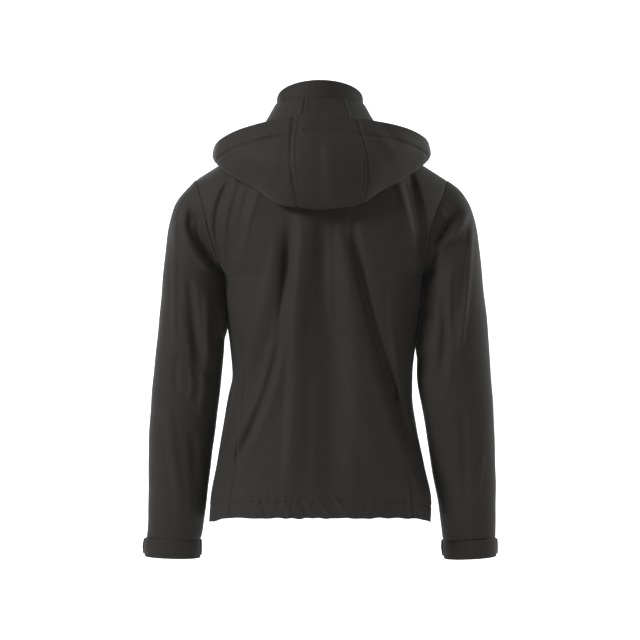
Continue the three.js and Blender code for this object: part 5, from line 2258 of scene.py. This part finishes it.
@dataclass
class Jacket:
    """The whole jacket, piece by piece.

    Args:
        tailor: who makes the pieces.
        body: the body's forms.
    """

    tailor: Tailor
    body: Body = field(default_factory=Body)

    # Distances of stitched lines from their seam or edge
    ARMHOLE_STITCH, SEAM_STITCH, OPENING_STITCH = 5.5, 4.0, 6.0
    CUFF_STITCH, TAB_STITCH, COLLAR_STITCH = 3.0, 2.5, 6.0
    HEM_WAVE = 0.9
    TAB_CLOTH = 1.6
    HOOD_MIDDLE = 100.0

    def build(self) -> None:
        """Makes every piece in order."""
        self._body()
        for side in Side:
            self._sleeve(side)
        collar = Collar(self.body.neck_line())
        self._collar(collar)
        self._hood(Hood(collar))
        self._zip(collar)

    def _hem(self) -> Sewn:
        """The hem's stitched line."""
        return Sewn(Edge.LOW, self.body.hem_stitch, groove=1.0, width=2.4, pucker=1.1, wave=13.0)

    def _body(self) -> None:
        """Back, side panels and fronts."""
        hem, low = self._hem(), (Edge.LOW,)
        all_round = (Edge.HIGH, Edge.START, Edge.END)
        seams = tuple(seam(e, 1.3) for e in all_round)
        edge_stitch = (stitch(Edge.START, self.SEAM_STITCH), stitch(Edge.END, self.SEAM_STITCH))
        self.tailor.sew(Piece(
            "back_panel", self.body.back(), (*seams, hem, *edge_stitch), (hem, *edge_stitch),
            ("side_panel_left", "side_panel_right", "collar"), folded=low, trimmed=all_round,
            folds=BODY_FOLDS, calm=all_round, hem_wave=self.HEM_WAVE,
        ))
        for side in Side:
            word = side.word
            down = (seam(Edge.HIGH, 0.2, 0.1), *seams[1:])
            self.tailor.sew(Piece(
                f"side_panel_{word}", self.body.side(side), (*down, hem), (hem,),
                ("back_panel", f"front_{word}"), folded=low, trimmed=all_round, wear=0.3,
                folds=BODY_FOLDS, calm=(Edge.HIGH,), hem_wave=self.HEM_WAVE,
            ))
            shoulder = (Edge.HIGH, Edge.END)
            opening = stitch(Edge.START, self.OPENING_STITCH, 0.2)
            self.tailor.sew(Piece(
                f"front_{word}", self.body.front(side), (*(seam(e) for e in shoulder), hem, opening),
                (hem, opening), (f"side_panel_{word}", f"zip_tape_{word}"), folded=low,
                trimmed=shoulder, folds=BODY_FOLDS, calm=all_round, hem_wave=self.HEM_WAVE,
            ))

    def _sleeve(self, side: Side) -> None:
        """Sleeve, cuff and tab of one side.

        Args:
            side: which side.
        """
        sleeve, word = Sleeve(side), side.word
        top = stitch(Edge.LOW, self.ARMHOLE_STITCH, 0.5, 13.0)
        wrist = Sewn(Edge.HIGH, groove=0.6, width=2.4, pucker=0.5, wave=10.0)
        self.tailor.sew(Piece(
            f"sleeve_{word}", sleeve.grid(), (seam(Edge.LOW, 0.5, 0.4), top, wrist), (top,),
            (f"front_{word}", "back_panel"), wear=0.9, folds=(SLEEVE_FOLDS, SLEEVE_FOLDS),
            calm=(Edge.LOW, Edge.HIGH), fit=sleeve.fitted,
        ))
        rim = stitch(Edge.HIGH, self.CUFF_STITCH, 0.15)
        self.tailor.sew(Piece(
            f"cuff_{word}", sleeve.cuff_grid(), (seam(Edge.LOW, 1.2), rim), (rim,),
            (f"sleeve_{word}",), thickness=CUFF_CLOTH, folded=(Edge.HIGH,), wear=0.3,
        ))
        ring = tuple(stitch(e, self.TAB_STITCH) for e in Edge)
        self.tailor.sew(Piece(
            f"cuff_tab_{word}", sleeve.tab_grid(), (), ring, (f"cuff_{word}",),
            thickness=self.TAB_CLOTH, wear=0.0,
        ))

    def _collar(self, collar: Collar) -> None:
        """The stand collar.

        Args:
            collar: its form.
        """
        rim = stitch(Edge.HIGH, self.COLLAR_STITCH, 0.2)
        self.tailor.sew(Piece(
            "collar", collar.grid(), (seam(Edge.LOW, 0.7, 0.15), rim), (rim,),
            ("back_panel", "front_left", "front_right"), thickness=COLLAR_CLOTH,
            folded=(Edge.HIGH,), wear=0.2,
        ))

    def _hood(self, hood: Hood) -> None:
        """The three pieces of the hood.

        Args:
            hood: its form.
        """
        rim = Sewn(Edge.HIGH, hood.RIM_STITCH, groove=2.4, width=2.2, pucker=0.6, wave=14.0)
        sides = {
            "hood_center": ((Edge.START, 5.5), (Edge.END, 8.0)),
            "hood_left": ((Edge.START, 2.6),),
            "hood_right": ((Edge.END, 2.6),),
        }
        for name, grid in hood.pieces().items():
            edges = tuple(edge for edge, _ in sides[name])
            lines = tuple(
                Sewn(edge, away, groove=1.7, width=1.6, pucker=0.3, wave=12.0)
                for edge, away in sides[name]
            )
            self.tailor.sew(Piece(
                name, grid, (*(seam(edge, 1.5) for edge in edges), rim, *lines), (rim, *lines),
                ("collar", "hood_center" if name != "hood_center" else "hood_left"),
                folded=(Edge.HIGH,), trimmed=edges, folds=(HOOD_FOLDS, NO_FOLDS),
                middle=self.HOOD_MIDDLE,
            ))

    def _zip(self, collar: Collar) -> None:
        """Tapes, teeth and the hard pieces of the zip.

        Args:
            collar: the collar that the tapes end behind.
        """
        edges = []
        for side in Side:
            tape = ZipTape(side, collar)
            grid = self.tailor.sew(Piece(
                f"zip_tape_{side.word}", tape.grid(), (), (), (f"front_{side.word}",),
                thickness=tape.thickness, wear=0.0, finish=TAPE, slot="zip_tape",
            ))
            edges.append((grid.points[:, 0], grid.normals()[:, 0]))
        line = (edges[0][0] + edges[1][0]) / 2
        points, faces = ZipTeeth().build(line, unit(edges[0][1] + edges[1][1]))
        teeth = new_mesh("zip_teeth", points, faces)
        self.tailor.wardrobe.dress(teeth, METAL, "zip_metal")
        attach(teeth, "jacket")
        LOG.info("zip_teeth: %d faces", len(faces))


# The studio


@dataclass(frozen=True)
class Lamp:
    """A square soft lamp: its place, width and power.

    Args:
        name: its name.
        place: where it stands, in metres.
        size: its width.
        power: its power in watts.
    """

    name: str
    place: tuple[float, float, float]
    size: float
    power: float


@dataclass(frozen=True)
class Studio:
    """Pale floor and backdrop, soft lamps and the camera.

    Args:
        floor_z: height of the floor, in metres.
        wall_y: how far away the backdrop stands.
        bend: radius of the curve between floor and backdrop.
        target_z: height that the camera and the lamps look at.
        distance: how far the camera stands behind the jacket.
        lens: focal length on a 36 mm sensor.
        around: strength of the even light from all round.
        pale: how bright the camera sees it.
        glow: light that the backdrop gives off.
        near_glow: light that the floor gives off near the jacket.
    """

    floor_z: float = -1.32
    wall_y: float = -6.5
    bend: float = 2.0
    target_z: float = -0.3403
    distance: float = 3.6
    lens: float = 111.26
    around: float = 0.3
    pale: float = 0.8
    glow: float = 0.85
    near_glow: float = 0.08

    LAMPS = (
        Lamp("key", (2.7, 1.9, 1.6), 1.0, 150.0),
        Lamp("fill", (-2.6, 2.6, 0.6), 2.4, 16.0),
        Lamp("rim", (-2.8, -0.6, 0.8), 1.2, 55.0),
        Lamp("front", (1.2, -3.0, 1.0), 2.0, 40.0),
    )

    # The floor along Y, from which the backdrop rises, and where the strong glow begins
    FLOOR = ((7.0, 0.0), (-1.6, 0.0), (-3.0, 0.0))
    GLOW_Y = -1.6
    HALF_WIDTH, WALL_TOP = 9.0, 9.0

    def build(self) -> None:
        """Makes everything that isn't the jacket."""
        self._world()
        self._backdrop()
        for lamp in self.LAMPS:
            self._light(lamp)
        self._camera()
        scene = bpy.context.scene
        scene.view_settings.view_transform = "Standard"
        scene.view_settings.look = "None"

    def _world(self) -> None:
        """Even light from all round, which the camera sees as a pale background."""
        world = bpy.data.worlds.new("studio")
        world.use_nodes = True
        tree = world.node_tree
        background = tree.nodes["Background"]
        background.inputs["Color"].default_value = (1.0, 1.0, 1.0, 1)
        path = tree.nodes.new("ShaderNodeLightPath")
        strength = tree.nodes.new("ShaderNodeMath")
        strength.operation = "MULTIPLY_ADD"
        strength.inputs[1].default_value = self.pale - self.around
        strength.inputs[2].default_value = self.around
        tree.links.new(path.outputs["Is Camera Ray"], strength.inputs[0])
        tree.links.new(strength.outputs["Value"], background.inputs["Strength"])
        bpy.context.scene.world = world

    def _backdrop(self) -> None:
        """A pale floor that curves up into a backdrop, which glows white behind the jacket."""
        line = list(self.FLOOR)
        for turn in np.linspace(0, math.pi / 2, 13):
            back, up = 1 - math.sin(turn), 1 - math.cos(turn)
            line.append((self.wall_y + self.bend * back, self.bend * up))
        line.append((self.wall_y, self.WALL_TOP))
        sides = (-self.HALF_WIDTH, self.HALF_WIDTH)
        points = [(x, y, self.floor_z + z) for y, z in line for x in sides]
        faces = [[2 * i, 2 * i + 1, 2 * i + 3, 2 * i + 2] for i in range(len(line) - 1)]
        obj = new_mesh("backdrop", np.array(points) / METRE, faces)
        glow = obj.data.attributes.new("glow", "FLOAT", "POINT")
        values = [self.near_glow if y >= self.GLOW_Y else self.glow for _, y, _ in points]
        glow.data.foreach_set("value", values)
        material = bpy.data.materials.new("pale_backdrop")
        material.use_nodes = True
        tree = material.node_tree
        shader = tree.nodes["Principled BSDF"]
        shader.inputs["Base Color"].default_value = (0.86, 0.86, 0.86, 1)
        shader.inputs["Roughness"].default_value = 0.95
        shader.inputs["Specular IOR Level"].default_value = 0.1
        shader.inputs["Emission Color"].default_value = (1, 1, 1, 1)
        strength = tree.nodes.new("ShaderNodeAttribute")
        strength.attribute_name = "glow"
        tree.links.new(strength.outputs["Fac"], shader.inputs["Emission Strength"])
        obj.data.materials.append(material)

    def _light(self, lamp: Lamp) -> None:
        """Puts up a lamp that faces the jacket.

        Args:
            lamp: the lamp.
        """
        data = bpy.data.lights.new(lamp.name, "AREA")
        data.size = lamp.size
        data.energy = lamp.power
        obj = bpy.data.objects.new(lamp.name, data)
        obj.location = lamp.place
        aim = Vector((0, 0, self.target_z)) - Vector(lamp.place)
        obj.rotation_euler = aim.to_track_quat("-Z", "Y").to_euler()
        bpy.context.scene.collection.objects.link(obj)

    def _camera(self) -> None:
        """The camera, level with the jacket's middle, behind it."""
        data = bpy.data.cameras.new("camera")
        data.lens = self.lens
        data.sensor_width = 36
        data.dof.use_dof = False
        camera = bpy.data.objects.new("camera", data)
        camera.location = (0, self.distance, self.target_z)
        camera.rotation_euler = (math.pi / 2, 0, math.pi)
        bpy.context.scene.collection.objects.link(camera)
        bpy.context.scene.camera = camera


def main() -> None:
    """Builds the whole scene."""
    logging.basicConfig(level=logging.INFO, format="%(message)s")
    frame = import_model()
    wardrobe = Wardrobe()
    tailor = Tailor(wardrobe)
    Jacket(tailor).build()
    for name in ("zip_box", "zip_slider", "zip_pull"):
        wardrobe.dress(frame["nodes"][name], METAL, "zip_metal")
        LOG.info("%s: metal", name)
    Studio().build()


if __name__ == "__main__":
    main()
